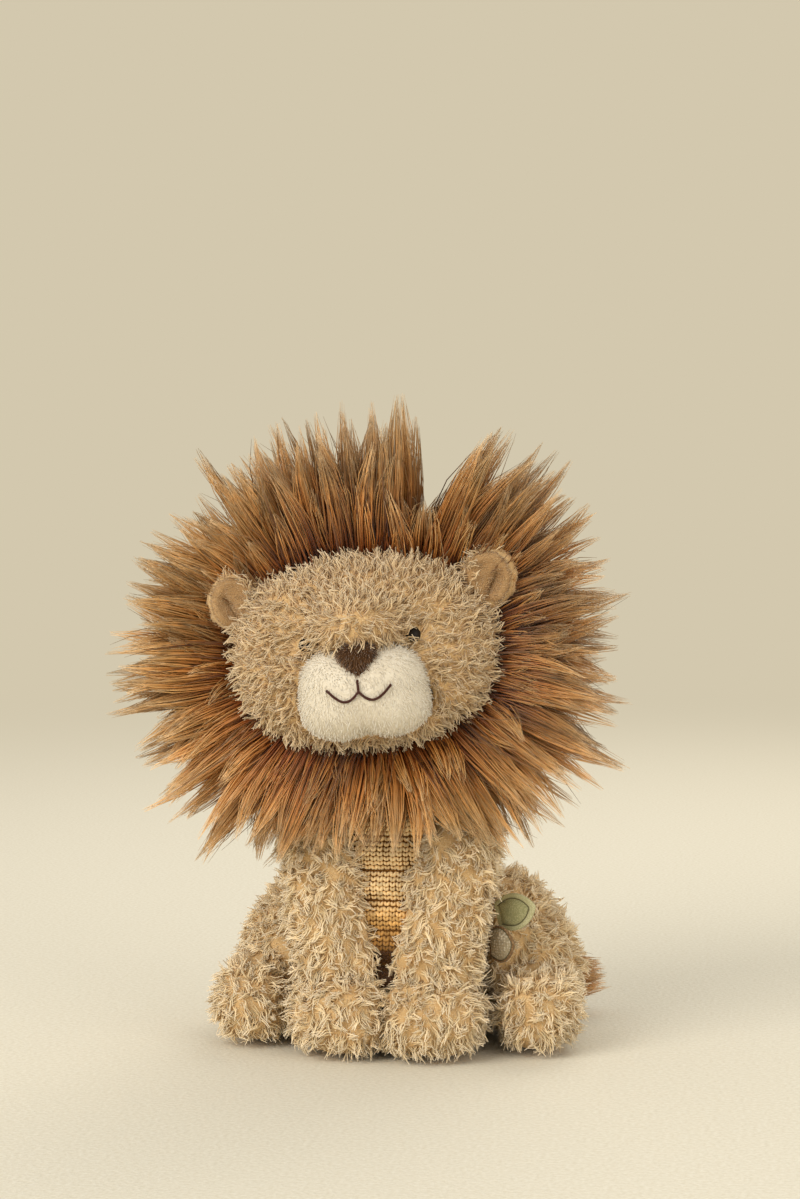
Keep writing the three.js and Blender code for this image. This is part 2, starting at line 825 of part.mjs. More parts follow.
function makeNeck() {
  const top = headAbove;
  const outline = [0, 1 / 4, 1 / 2, 1].map((at) => {
    const radius = neckRadius - neckBulge + neckBulge * Math.cos(Math.PI * (at - 1 / 4));
    return new THREE.Vector2(radius, seamGap / 2 + (top - seamGap) * at);
  });
  const closed = [new THREE.Vector2(0, outline[0].y), ...outline, new THREE.Vector2(0, outline.at(-1).y)];
  const lathe = new THREE.LatheGeometry(closed, torsoSides);
  lathe.rotateX(Math.PI / 2);
  return mainBody(solidOf(lathe).subtract(headBall(manePad + seamGap)));
}

// Ears

const earCentre = (side) => onHead(side * earOut, earForward, earAbove);

function earBall(side, grow, forward = 0) {
  return solidOf(
    grown(
      ball(
        {
          centre: earCentre(side).addScaledVector(Y, -forward),
          halfWidth: earHalfWidth,
          halfDepth: earHalfDepth,
          halfHeight: earHalfHeight,
        },
        earRings,
        earSides,
      ),
      grow,
    ),
  );
}

function earHinge(side) {
  const out = new THREE.Vector3(side * earOut, 0, earAbove).normalize();
  const along = new THREE.Vector3(-out.z, 0, out.x);
  return { point: earCentre(side).addScaledVector(out, -earHalfWidth * earRootShare), axis: along };
}

function makeEar(side) {
  const { point, axis } = earHinge(side);
  const head = headBall(seamGap);
  const clear = (solid) => mainBody(clearOfSwing(solid, head, point, axis, -earSwing, earSwing, 2));
  const hollow = earBall(side, -earWall / 2, earCupForward);
  const cover = clear(earBall(side, 0).subtract(hollow));
  const out = new THREE.Vector3(side * earOut, 0, earAbove).normalize();
  const middle = earCentre(side).addScaledVector(Y, -earCupForward - earHalfDepth + earWall);
  const fold = pin(
    middle.clone().addScaledVector(out, -earHalfWidth),
    middle.clone().addScaledVector(out, earHalfWidth / 2),
    earFold,
  );
  const front = earBall(side, -earWall / 2, earCupForward + earWall);
  const lining = clear(
    earBall(side, -seamGap - earWall / 2, earCupForward)
      .intersect(earBall(side, -seamGap))
      .subtract(front)
      .subtract(fold),
  );
  return { cover, lining };
}

// The room an ear needs to swing without touching the mane.
function earRoom(side) {
  const { point, axis } = earHinge(side);
  return [-1, -1 / 2, 0, 1 / 2, 1]
    .map((share) => moved(earBall(side, runningGap), turnAbout(point, axis, share * earSwing)))
    .reduce((a, b) => a.add(b));
}

// Mane

// The space round the neck that belongs to the torso and the legs, whatever way the head is turned.
function neckWell() {
  const bottom = -maneHalfHeight - cutOverrun;
  const outline = [
    new THREE.Vector2(0, bottom),
    new THREE.Vector2(skirtRadius, bottom),
    new THREE.Vector2(skirtRadius, skirtTop),
    new THREE.Vector2(collarRadius, collarTop),
    new THREE.Vector2(0, collarTop),
  ];
  const lathe = new THREE.LatheGeometry(outline, torsoSides);
  return solidOf(lathe.rotateX(Math.PI / 2));
}

// A point pushed out of the neck well by half the width of the lock that runs through it.
function outsideWell(point, margin) {
  const fall = clamp((collarTop - point.z) / (collarTop - skirtTop), 0, 1);
  const least = fall > 0 ? lerp(collarRadius, skirtRadius, fall) + margin : 0;
  const radius = Math.hypot(point.x, point.y);
  if (radius < least) {
    point.x *= least / radius;
    point.y *= least / radius;
  }
  return point;
}

// Degrees round the fan from the parting, within half a turn each way.
function fromParting(angle) {
  const turn = 360;
  return ((angle - partingAngle + turn * 1.5) % turn) - turn / 2;
}

// The direction round the fan that a lock leans to: away from the parting.
function leanedAngle(angle) {
  const away = fromParting(angle);
  const push = partingSpread * Math.exp(-((away / partingReach) ** 2));
  return angle + (away < 0 ? -push : push);
}

// A place in the mane: from the head's surface at 0 to the mane's outline at 1, in one direction of the fan.
function manePlace(angle, [rootAngle, reach, depth], share) {
  const polar = degToRad(rootAngle);
  const flat = new THREE.Vector3(Math.cos(angle), 0, Math.sin(angle));
  const root = new THREE.Vector3(
    flat.x * Math.sin(polar) * headHalfWidth,
    -Math.cos(polar) * headHalfDepth,
    flat.z * Math.sin(polar) * headHalfHeight,
  );
  const full = (Math.abs(flat.x) ** manePower + Math.abs(flat.z) ** manePower) ** (-1 / manePower);
  const tip = new THREE.Vector3(
    flat.x * full * reach * maneHalfWidth,
    depth * maneDepth,
    flat.z * full * reach * maneHalfHeight + maneAbove,
  );
  return root.lerp(tip, share).add(headCentre);
}

// The mane's closed body under its pointed locks. It flares out from the face's rim and rounds over behind.
function maneBody() {
  const rim = [maneRimAngle, 1, 0];
  const shares = [0, ...lockRowShares.map(() => maneFilled)];
  const rings = [rim, ...lockRowShares].map((row, i) =>
    Array.from({ length: maneDirections }, (_, j) => {
      const angle = -(2 * Math.PI * j) / maneDirections;
      return outsideWell(manePlace(angle, row, shares[i]), 0);
    }),
  );
  const back = new THREE.Vector3();
  rings.at(-1).forEach((p) => back.addScaledVector(p, 1 / maneDirections));
  return solidOf(skin([...rings, [back]]));
}

// One tapered lock of fur, from its root in the mane's body to its tip on the mane's outline.
function makeLock(root, tip, lift, widthShare) {
  const half = lockHalfWidth * widthShare;
  const run = tip.clone().sub(root);
  const centreAt = (t) => {
    const bowed = root.clone().addScaledVector(run, t).addScaledVector(lift, Math.sin(Math.PI * t));
    return outsideWell(bowed, half * (1 - t));
  };
  const side = new THREE.Vector3().crossVectors(Y, run);
  if (side.length() < half) side.copy(X);
  side.normalize();
  const rings = lockProfileShares.map(([t, width]) => {
    const centre = centreAt(t);
    const [before, after] = [centreAt(Math.max(0, t - lockStep)), centreAt(Math.min(1, t + lockStep))];
    const tangent = after.sub(before).normalize();
    const across = side.clone().addScaledVector(tangent, -side.dot(tangent)).normalize();
    const up = new THREE.Vector3().crossVectors(tangent, across);
    return ring(
      {
        centre,
        across: across.multiplyScalar(half * width),
        up: up.multiplyScalar(half * width * lockThickness),
      },
      lockSides,
    );
  });
  return solidOf(skin(rings));
}

// The locks of one row: their roots lie on the head ball, at one angle from straight ahead.
function lockRow(row, rowNumber) {
  const [rootAngle, , , count] = row;
  const locks = [];
  for (let i = 0; i < count; i++) {
    const plain = ((i + (rowNumber % 2) / 2) * 360) / count; // odd rows are set half a lock further round
    const angle = degToRad(leanedAngle(plain));
    const [across, rise] = [Math.cos(angle), Math.sin(angle)];
    if (rowNumber > 1 && rootAngle < neckRowAngle && rise < neckRoomShare) continue;
    const swirl = i % 2 ? 1 : -1;
    const lift = new THREE.Vector3(-rise, 0, across).multiplyScalar((swirl * lockBend) / 2);
    lift.addScaledVector(Y, -lockBend / 2);
    const tight = Math.abs(fromParting(plain)) < partingReach ? partingWidth : 1;
    const width = tight * lerp(innerRowWidth, 1, Math.sin(degToRad(rootAngle)));
    const [root, tip] = [lockRoot, 1].map((share) => manePlace(angle, row, share));
    locks.push({ plain, lock: makeLock(root, tip, lift, width) });
  }
  return locks;
}

// A slice of space round the head between two directions of the fan.
function fanSlice(from, to) {
  const middle = degToRad((from + to) / 2);
  const half = degToRad((to - from) / 2);
  const inset = seamGap / 2 / Math.sin(half);
  const steps = 6;
  const reach = far / Math.cos(half / steps);
  const shape = new THREE.Shape();
  shape.moveTo(0, 0);
  for (let i = 0; i <= steps; i++) {
    const angle = middle - half + (2 * half * i) / steps;
    shape.lineTo(reach * Math.cos(angle), reach * Math.sin(angle));
  }
  const slice = new THREE.ExtrudeGeometry(shape, { depth: 2 * far, bevelEnabled: false });
  slice.rotateX(Math.PI / 2);
  const apex = new THREE.Vector3(Math.cos(middle), 0, Math.sin(middle)).multiplyScalar(inset);
  return solidOf(slice.translate(...headCentre.clone().add(apex).addScaledVector(Y, far).toArray()));
}

// The cone that parts the back panel of the mane from the ring of panels.
function backCone(grow) {
  const half = degToRad(180 - backPanelAngle);
  const cone = new THREE.ConeGeometry(far * Math.tan(half), far, torsoSides);
  cone.translate(0, -far / 2 + grow / Math.sin(half), 0);
  cone.rotateX(Math.PI);
  return solidOf(cone.translate(...headCentre.toArray()));
}

function manePadShell() {
  const front = inFrontOf(headCentre.y - faceRim + seamGap);
  return headBall(manePad).subtract(headHollow()).subtract(front).subtract(solidOfNeck(seamGap));
}

function solidOfNeck(grow) {
  const radius = (neckRadius + grow) / Math.cos(Math.PI / roundSides);
  return pin(new THREE.Vector3(0, 0, -cutOverrun), new THREE.Vector3(0, 0, headAbove), radius);
}

function makeManePanels() {
  const rows = lockRowShares.flatMap((row, i) => lockRow(row, i).map((lock) => ({ ...lock, row: i })));
  const keepOut = [
    neckWell(),
    headHollow(),
    earRoom(1),
    earRoom(-1),
    solidOfNeck(seamGap),
    faceKeepOut(),
  ];
  const trim = (solid) => keepOut.reduce((left, cutter) => left.subtract(cutter), solid);
  const pad = manePadShell().add(maneBody());
  const panels = {};
  const backRows = (row) => lockRowShares[row][0] > backPanelAngle;
  for (const [name, [from, to]] of Object.entries(panelAngles)) {
    const inside = rows.filter(({ plain, row }) => !backRows(row) && within(plain, from, to));
    const joined = inside.reduce((solid, { lock }) => solid.add(lock), pad);
    panels[name] = mainBody(trim(joined).intersect(fanSlice(from, to)).subtract(backCone(seamGap)));
  }
  const behind = rows.filter(({ row }) => backRows(row)).reduce((solid, { lock }) => solid.add(lock), pad);
  panels.mane_back = mainBody(trim(behind).intersect(backCone(0)));
  return panels;
}

// The face's own space: no fur of the mane lies in it.
function faceKeepOut() {
  return headBall(seamGap).intersect(inFrontOf(headCentre.y - faceRim + seamGap));
}

function within(angle, from, to) {
  return [angle, angle + 360].some((a) => a >= from && a < to);
}

// Front legs: made for the right side and mirrored.

function frontLegRing(at, grow = 0) {
  const [, width, depth, lean, forward] = rowAt(frontLegRowShares, at);
  const full = at >= 1 ? 0 : domed(at, 0, frontLegRounding);
  return {
    centre: new THREE.Vector3(
      frontLegSpread + frontLegLean * lean,
      -frontLegForward * forward,
      lerp(frontLegBottom, frontLegTop + grow, at),
    ),
    across: X.clone().multiplyScalar(full > 0 ? frontLegHalfWidth * width * full + grow : 0),
    up: Y.clone().multiplyScalar(full > 0 ? frontLegHalfDepth * depth * full + grow : 0),
  };
}

function frontLegShape(grow = 0, sides = limbSides) {
  return solidOf(skin(frontLegPlaceShares.map((at) => ring(frontLegRing(at, grow), sides))));
}

function pawShape({ spread, forward, halfWidth, halfDepth, height }, grow = 0) {
  const size = {
    centre: new THREE.Vector3(spread, -forward, height / 2 - soleFlat),
    halfWidth,
    halfDepth,
    halfHeight: height / 2,
  };
  return solidOf(grown(ball(size, pawRings, limbSides, pawPower), grow)).subtract(belowFloor);
}

const frontPaw = {
  spread: frontPawSpread,
  forward: frontPawForward,
  halfWidth: frontPawHalfWidth,
  halfDepth: frontPawHalfDepth,
  height: frontPawHeight,
};
const hindPaw = {
  spread: hindPawSpread,
  forward: hindPawForward,
  halfWidth: hindPawHalfWidth,
  halfDepth: hindPawHalfDepth,
  height: hindPawHeight,
};

const shoulder = new THREE.Vector3(
  frontLegSpread,
  shoulderBack - frontLegForward,
  frontLegTop - shoulderDown,
);
const forwardAxis = new THREE.Vector3(-1, 0, 0);

// The torso with the swollen knitted panel on it.
function bellyShape(grow) {
  return torsoShape(grow).add(torsoShape(grow + tierPuff).intersect(chestStrip(grow)));
}

// The torso leans, so each leg is mirrored first and then cut to its own side of the belly.
function makeFrontLeg(sided) {
  const belly = bellyShape(seamGap);
  const clearBelly = (solid) => clearOfSwing(solid, belly, shoulder, forwardAxis, 0, frontSwing, 1);
  const paw = (grow) => sided(pawShape(frontPaw, grow));
  const room = (shrink) =>
    sided(frontLegShape(-coverWall - shrink, fillSides))
      .subtract(bellyShape(seamGap + coverWall + shrink))
      .subtract(paw(coverWall + seamGap + shrink));
  const holeHeight = lerp(frontLegBottom, frontLegTop, fillHoleShare);
  const hole = pin(
    new THREE.Vector3(frontLegSpread, -frontLegForward, holeHeight),
    new THREE.Vector3(frontLegSpread, cutOverrun, holeHeight),
    fillHoleRadius,
  );
  return {
    leg: mainBody(
      clearBelly(sided(frontLegShape())).subtract(paw(seamGap)).subtract(room(0)).subtract(sided(hole)),
    ),
    fill: mainBody(room(seamGap)),
    paw: mainBody(clearBelly(paw(0))),
  };
}

// Hind legs: made for the right side and mirrored.

function haunchShape(grow = 0, sides = limbSides) {
  const last = haunchRings - 1;
  const places = Array.from({ length: haunchRings }, (_, i) => Math.sin((Math.PI * i) / (2 * last)));
  const rings = places.map((at, i) => {
    const [, depth, height, down] = rowAt(haunchRowShares, at);
    const full = i === last ? 0 : domed(at, 0, haunchRounding);
    return ring(
      {
        centre: new THREE.Vector3(
          lerp(hipPlane - grow, hipPlane + haunchThickness + grow, at),
          hipBack,
          hipHeight - haunchRadius * down,
        ),
        across: Y.clone().multiplyScalar(full > 0 ? haunchRadius * depth * full + grow : 0),
        up: Z.clone().multiplyScalar(full > 0 ? haunchRadius * height * full + grow : 0),
      },
      sides,
    );
  });
  return solidOf(skin(rings));
}

function makeHindLeg() {
  const room = (shrink) => {
    return haunchShape(-coverWall - shrink, fillSides).subtract(below(coverWall + shrink));
  };
  const hip = (side) => new THREE.Vector3(side, hipBack, hipHeight);
  const hole = pin(hip(hipPlane - cutOverrun), hip(hipPlane + haunchThickness / 2), haunchHoleRadius);
  const outer = haunchShape().subtract(belowFloor);
  return {
    leg: mainBody(outer.subtract(room(0)).subtract(hole)),
    fill: mainBody(room(seamGap)),
    paw: mainBody(pawShape(hindPaw).subtract(haunchShape(seamGap)).subtract(leftOf(hipPlane))),
  };
}

// Tail

function tailRoot() {
  const { centre, up } = torsoRing(tailHeight);
  return new THREE.Vector3(0, centre.y + up.y - tailRootInset, tailHeight);
}

function makeTail() {
  const root = tailRoot();
  const path = new THREE.CatmullRomCurve3(
    tailRouteShares.map((row) => root.clone().addScaledVector(new THREE.Vector3(...row), tailLength)),
  );
  const tubeRing = (at, grow) => {
    const tangent = path.getTangent(at);
    const across = new THREE.Vector3().crossVectors(Z, tangent).normalize();
    const up = new THREE.Vector3().crossVectors(tangent, across);
    const radius = lerp(tailRadius, tailTipRadius, at) + grow;
    [across, up].forEach((half) => half.multiplyScalar(radius));
    return { centre: path.getPoint(at), across, up };
  };
  const places = Array.from({ length: tailSteps }, (_, i) => i / (tailSteps - 1));
  const tube = (grow) => solidOf(skin(places.map((at) => ring(tubeRing(at, grow), tailSides))));
  const knob = (grow) => {
    const sphere = new THREE.SphereGeometry(tailRadius + grow, roundSides, roundRings);
    return solidOf(sphere.translate(...root.toArray()));
  };
  const torso = torsoShape(runningGap);
  const free = clearOfSwing(tube(0), torso, root, Z, 0, tailSwing, 2);
  return { root, path, tail: mainBody(free.add(knob(0))), socket: knob(runningGap) };
}

function makeTuft({ path }) {
  const start = path.getPoint(1);
  const along = path.getTangent(1).normalize();
  const base = start.clone().addScaledVector(along, seamGap);
  const across = new THREE.Vector3().crossVectors(Z, along).normalize();
  const up = new THREE.Vector3().crossVectors(along, across);
  const strand = (from, to, radius) => {
    const run = to.clone().sub(from);
    return solidOf(
      skin(
        lockProfileShares.map(([t, width]) =>
          ring(
            {
              centre: from.clone().addScaledVector(run, t),
              across: across.clone().multiplyScalar(radius * width),
              up: up.clone().multiplyScalar(radius * width),
            },
            tailSides,
          ),
        ),
      ),
    );
  };
  let tuft = strand(base, base.clone().addScaledVector(along, tuftLength), tuftRadius);
  for (let i = 0; i < tuftLocks; i++) {
    const angle = (2 * Math.PI * i) / tuftLocks;
    const out = across.clone().multiplyScalar(Math.cos(angle)).addScaledVector(up, Math.sin(angle));
    const from = base.clone().addScaledVector(along, tuftRadius / 2).addScaledVector(out, tuftRadius / 4);
    const to = base
      .clone()
      .addScaledVector(along, tuftLength * outerTuftLength)
      .addScaledVector(out, tuftRadius * outerTuftSpread);
    tuft = tuft.add(strand(from, to, tuftRadius / 2));
  }
  const tailSide = pin(base, base.clone().addScaledVector(along, -cutOverrun), cutOverrun);
  return mainBody(tuft.subtract(tailSide).subtract(belowFloor));
}

// Leaf tabs

function makeLeaf({ up, slant, rise, lengthShare }) {
  const length = leafLength * lengthShare;
  const [third, widest, full] = [length / 3, (length * 2) / 3, length * leafTipShare];
  const [root, half] = [leafRootHalfWidth, leafHalfWidth];
  const shape = new THREE.Shape();
  shape.moveTo(0, -root);
  shape.bezierCurveTo(third, -root, third, -half, widest, -half);
  shape.bezierCurveTo(full, -half, length, -half / 2, length, 0);
  shape.bezierCurveTo(length, half / 2, full, half, widest, half);
  shape.bezierCurveTo(third, half, third, root, 0, root);
  const cloth = { depth: leafThickness, bevelEnabled: false, curveSegments: leafCurveSteps };
  const leaf = new THREE.ExtrudeGeometry(shape, cloth);
  leaf.translate(0, 0, -leafThickness / 2);
  leaf.rotateX(Math.PI / 2);
  leaf.rotateY(degToRad(-rise));
  leaf.rotateZ(degToRad(-slant));
  return solidOf(leaf.translate(leafRootOut, leafRootBack, up));
}

// The whole toy

const lion = new THREE.Group();
const tailParts = makeTail();
const torso = makeTorsoCovers(tailParts);

for (const [name, solid] of Object.entries(torso)) {
  lion.add(piece(name, solid, name === "chest_panel" ? knitGold : plushTan));
}
lion.add(piece("seat_panel", makeSeat(), plushTan));
lion.add(piece("bean_bag", beanBagShape(0).subtract(tailParts.socket), pelletCloth));
lion.add(piece("torso_stuffing", makeTorsoStuffing(tailParts), fillWhite));
for (const [name, place] of Object.entries(leafs)) {
  const solid = makeLeaf(place).subtract(torsoShape(seamGap));
  lion.add(piece(name, mainBody(solid), name.endsWith("upper") ? leafSage : leafBeige));
}

const head = new THREE.Group();
head.applyMatrix4(headFrame);
head.add(piece("neck", makeNeck(), plushTan));
head.add(piece("face", makeFace(), plushTan));
head.add(piece("muzzle", makeMuzzle(), minkyCream));
head.add(piece("nose", makeNose(), minkyBrown));
head.add(piece("mouth_stitching", makeMouth(), stitchBrown, threadRoughness));
head.add(piece("head_stuffing", makeHeadStuffing(), fillWhite));
for (const [side, word] of [[-1, "left"], [1, "right"]]) {
  head.add(piece(`eye_${word}`, makeEye(side), eyeBlack, eyeRoughness));
  head.add(piece(`eye_washer_${word}`, makeWasher(side), washerWhite, washerRoughness));
  const { cover, lining } = makeEar(side);
  head.add(piece(`ear_${word}`, cover, plushTan));
  head.add(piece(`ear_lining_${word}`, lining, minkyTan));
}
for (const [name, solid] of Object.entries(makeManePanels())) head.add(piece(name, solid, furCaramel));
lion.add(head);

const hindLeg = makeHindLeg();
for (const [word, sided] of [["left", mirror], ["right", (solid) => solid]]) {
  const frontLeg = makeFrontLeg(sided);
  lion.add(piece(`front_leg_${word}`, frontLeg.leg, plushTan));
  lion.add(piece(`front_leg_fill_${word}`, frontLeg.fill, fillWhite));
  lion.add(piece(`front_paw_${word}`, frontLeg.paw, plushTan));
  lion.add(piece(`hind_leg_${word}`, sided(hindLeg.leg), plushTan));
  lion.add(piece(`hind_leg_fill_${word}`, sided(hindLeg.fill), fillWhite));
  lion.add(piece(`hind_paw_${word}`, sided(hindLeg.paw), plushTan));
}

lion.add(piece("tail", tailParts.tail, plushTan));
lion.add(piece("tail_tuft", makeTuft(tailParts), furCaramel));

export default lion;
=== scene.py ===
# %% [markdown]
# # A sitting plush lion
# The toy is sewn from four cloths: curly short-pile plush for the body, long-pile faux fur for the mane, smooth
# minky for the muzzle, nose and ears, and a gold knit for the chest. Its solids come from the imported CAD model,
# which is the frame: every piece here rides on one of its bodies and stays where its solid is.
# All sizes are in metres, and a size that is known in millimetres is written times mm.

# %% The frame
import json
import math

import bmesh
import bpy
import numpy as np
from mathutils import Matrix, Vector, noise
from mathutils.bvhtree import BVHTree


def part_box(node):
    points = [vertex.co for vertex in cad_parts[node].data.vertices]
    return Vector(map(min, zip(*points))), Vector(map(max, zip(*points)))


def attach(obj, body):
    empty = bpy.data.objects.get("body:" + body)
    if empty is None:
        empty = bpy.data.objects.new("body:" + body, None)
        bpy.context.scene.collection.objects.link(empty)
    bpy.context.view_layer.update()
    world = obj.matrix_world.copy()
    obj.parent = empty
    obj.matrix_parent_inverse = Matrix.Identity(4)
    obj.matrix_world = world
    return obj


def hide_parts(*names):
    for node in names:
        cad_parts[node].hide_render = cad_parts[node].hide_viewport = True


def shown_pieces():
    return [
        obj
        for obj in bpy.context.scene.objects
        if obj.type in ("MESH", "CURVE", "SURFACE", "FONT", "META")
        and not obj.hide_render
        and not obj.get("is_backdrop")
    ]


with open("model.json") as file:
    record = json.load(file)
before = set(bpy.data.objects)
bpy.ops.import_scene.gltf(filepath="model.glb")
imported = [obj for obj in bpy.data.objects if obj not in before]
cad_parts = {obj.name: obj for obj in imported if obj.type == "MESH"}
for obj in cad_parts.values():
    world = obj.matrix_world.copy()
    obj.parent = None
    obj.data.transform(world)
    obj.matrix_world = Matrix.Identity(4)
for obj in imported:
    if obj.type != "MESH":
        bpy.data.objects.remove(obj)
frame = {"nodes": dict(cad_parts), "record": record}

mm = 0.001
scene = bpy.context.scene
cad = frame["nodes"]
body_of = {node: body for body, members in frame["record"]["behaviour"]["bodies"].items() for node in members}
slot_of = {part["node"]: part["material_slot"] for part in frame["record"]["subparts"]}
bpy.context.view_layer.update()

# %% [markdown]
# ## Where the head is
# The head leans and turns a little on its neck seam, as in the photograph. Its pieces are easier to describe in
# the head's own frame, so one matrix takes a point from there, in millimetres, to the toy's frame in metres.

# %% The head's own frame
neck_seam = Vector((-3, -4, 108))
head_middle = Vector((0, -26, 47))
head_half = Vector((50, 38, 37))
head_power = 2.3  # 2 would be an ellipsoid, more is boxier
head_frame = (
    Matrix.Scale(mm, 4)
    @ Matrix.Translation(neck_seam)
    @ Matrix.Rotation(math.radians(-6), 4, "Y")
    @ Matrix.Rotation(math.radians(4), 4, "Z")
)


def on_head(across, forward, above):
    """A point in the head's frame, counted from the middle of the head."""
    return head_middle + Vector((across, -forward, above))


def in_head(place):
    """A place of the toy's frame, in the head's frame and counted from the middle of the head."""
    return head_frame.inverted() @ place - head_middle


def limited(value):
    """The value, but at least 0 and at most 1."""
    return min(1, max(0, value))


def bell(value, width):
    """1 at value 0, and soon 0 beyond the width."""
    return math.exp(-((value / width) ** 2))


print("the head's middle in mm:", [round(v / mm) for v in head_frame @ head_middle])

# %% [markdown]
# ## Nodes
# Materials and Geometry Nodes trees are built by the same small function: it adds a node, sets its properties
# and fills its inputs with values or wires. Wires are reckoned with like numbers: each sign adds a Math node.
# Colours are written as sRGB hex values, as a colour picker shows them.

# %% Wires, nodes and colours
trees = []  # nodes are added to the last one


class Wire:
    """An output of a node. A sign between a wire and a number or another wire adds the node that reckons it."""

    def __init__(self, node, output=0):
        self.node, self.output = node, output

    def __getitem__(self, output):
        return Wire(self.node, output)

    @property
    def socket(self):
        return self.node.outputs[self.output]

    @property
    def is_vector(self):
        return self.socket.type in ("VECTOR", "RGBA")

    def __add__(self, other):
        return reckoned("ADD", self, other)

    def __sub__(self, other):
        return reckoned("SUBTRACT", self, other)

    def __rsub__(self, other):
        return reckoned("SUBTRACT", other, self)

    def __mul__(self, other):
        if self.is_vector:
            return add("ShaderNodeVectorMath", {0: self, "Scale": other}, operation="SCALE")
        return reckoned("MULTIPLY", self, other)

    def __truediv__(self, other):
        return reckoned("DIVIDE", self, other)

    def __rtruediv__(self, other):
        return reckoned("DIVIDE", other, self)

    def __pow__(self, other):
        return reckoned("POWER", self, other)

    def __gt__(self, other):
        return reckoned("GREATER_THAN", self, other)


def reckoned(operation, *values):
    """A Math node of these values, or a Vector Math node where the first wire among them carries a vector."""
    wire = next(value for value in values if isinstance(value, Wire))
    kind = "ShaderNodeVectorMath" if wire.is_vector else "ShaderNodeMath"
    return add(kind, dict(enumerate(values)), operation=operation)


def feed(wire, inputs):
    """Fills inputs of a wire's node with values or wires."""
    for socket, value in inputs.items():
        if isinstance(value, Wire):
            trees[-1].links.new(value.socket, wire.node.inputs[socket])
        else:
            wire.node.inputs[socket].default_value = value
    return wire


def add(kind, inputs=None, **settings):
    """Adds a node, sets its properties and fills its inputs. The wire is its first output."""
    node = trees[-1].nodes.new(kind)
    for name, value in settings.items():
        setattr(node, name, value)
    return feed(Wire(node), inputs or {})


def colour(hex_code):
    """An sRGB hex colour as linear red, green, blue and 1."""
    parts = [int(hex_code[i : i + 2], 16) / 255 for i in (1, 3, 5)]
    linear = [c / 12.92 if c <= 0.04045 else ((c + 0.055) / 1.055) ** 2.4 for c in parts]
    return (*linear, 1.0)


def ramp(factor, stops):
    """Colours along a factor: stops are (place, hex colour)."""
    wire = add("ShaderNodeValToRGB", {"Fac": factor})
    steps = wire.node.color_ramp.elements
    while len(steps) < len(stops):
        steps.new(0.5)
    for step, (place, hex_code) in zip(steps, stops):
        step.position, step.color = place, colour(hex_code)
    return wire


def on_piece():
    """The place on a piece, in metres."""
    return add("ShaderNodeTexCoord")["Object"]


def mottle(size, detail=2):
    """Soft noise between 0 and 1, in patches of a size in metres."""
    return add("ShaderNodeTexNoise", {"Vector": on_piece(), "Scale": 1 / size, "Detail": detail})


def cloth(name, roughness, sheen=0.0, specular=0.3):
    """A new material and its Principled shader."""
    material = bpy.data.materials.new(name)
    material.use_nodes = True
    trees.append(material.node_tree)
    material.node_tree.nodes.clear()
    looks = {"Roughness": roughness, "Sheen Weight": sheen, "Sheen Roughness": 0.4, "Specular IOR Level": specular}
    shader = add("ShaderNodeBsdfPrincipled", looks)
    add("ShaderNodeOutputMaterial", {"Surface": shader})
    return material, shader


print("node helpers ready")

# %% [markdown]
# ## Pile materials
# A pile fibre is darker at its root and palest at its tip: painted shade at the root, where light hardly reaches,
# and a painted highlight at the tip. Each strand carries two numbers as attributes: along runs from 0 at the root
# to 1 at the tip, and tint is a random number for each strand, so that neighbours differ a little as dyed fibres do.
#
# Plush and minky are polyester knits with a cut pile, heat-set into curls. Faux fur is modacrylic with a pile of
# several centimetres and a soft shine along the fibre.

# %% Materials of the piles


def pile(name, stops, roughness, sheen, contrast, specular=0.3):
    """Pile fibres: painted shade at the root to a painted highlight at the tip, a lighter or darker strand here and
    there, and patches of dye.
    """
    material, shader = cloth(name, roughness, sheen, specular)
    along, tint = (add("ShaderNodeAttribute", attribute_name=word)["Fac"] for word in ("along", "tint"))
    lighter = 1.5 * contrast
    limits = {"From Min": 0.3, "From Max": 1.7, "To Min": 1 - lighter, "To Max": 1 + lighter}
    value = add("ShaderNodeMapRange", {"Value": mottle(6 * mm) + tint, **limits})
    feed(shader, {"Base Color": add("ShaderNodeHueSaturation", {"Color": ramp(along, stops), "Value": value})})
    return material


plush_pile = pile(
    "curly_polyester_plush", [(0, "#d3b280"), (0.3, "#e8cfa1"), (0.7, "#f1dcb6"), (1, "#f8e8ca")], 0.8, 0.35, 0.17
)
# The face and ears get the body's plush painted a shade darker: painted shade, as the face takes less light than the
# legs.
face_pile = pile(
    "face_polyester_plush_painted_shade", [(0, "#b99467"), (0.3, "#cfb184"), (0.7, "#dcc299"), (1, "#ead6b4")], 0.8, 0.35, 0.16
)
mane_stops = [(0, "#4a1d02"), (0.2, "#84430f"), (0.55, "#b87a38"), (0.85, "#cf9f60"), (1, "#e2c396")]
mane_pile = pile("modacrylic_long_pile_fur", mane_stops, 0.42, 0.1, 0.42, 0.5)
cream_pile = pile("cream_minky_pile", [(0, "#d0c4ac"), (0.6, "#e3dccd"), (1, "#ece6da")], 0.9, 0.3, 0.04)
brown_pile = pile("brown_minky_pile", [(0, "#402813"), (0.6, "#6b4a2c"), (1, "#8c6845")], 0.85, 0.3, 0.2)
tan_pile = pile("tan_minky_pile", [(0, "#a5835a"), (0.6, "#c8a67a"), (1, "#dcc298")], 0.9, 0.3, 0.1)
print("piles:", [m.name for m in (plush_pile, face_pile, mane_pile, cream_pile, brown_pile, tan_pile)])

# %% [markdown]
# ## Materials of the cloths under the pile
# Under each pile lies its knitted backing, which shows only between the tufts. It gets fine loops, drawn as a
# bump: 0.5 to 1 mm from loop to loop, and 2.5 mm for the lumps of loose fibrefill.

# %% Backings, yarns and plastics


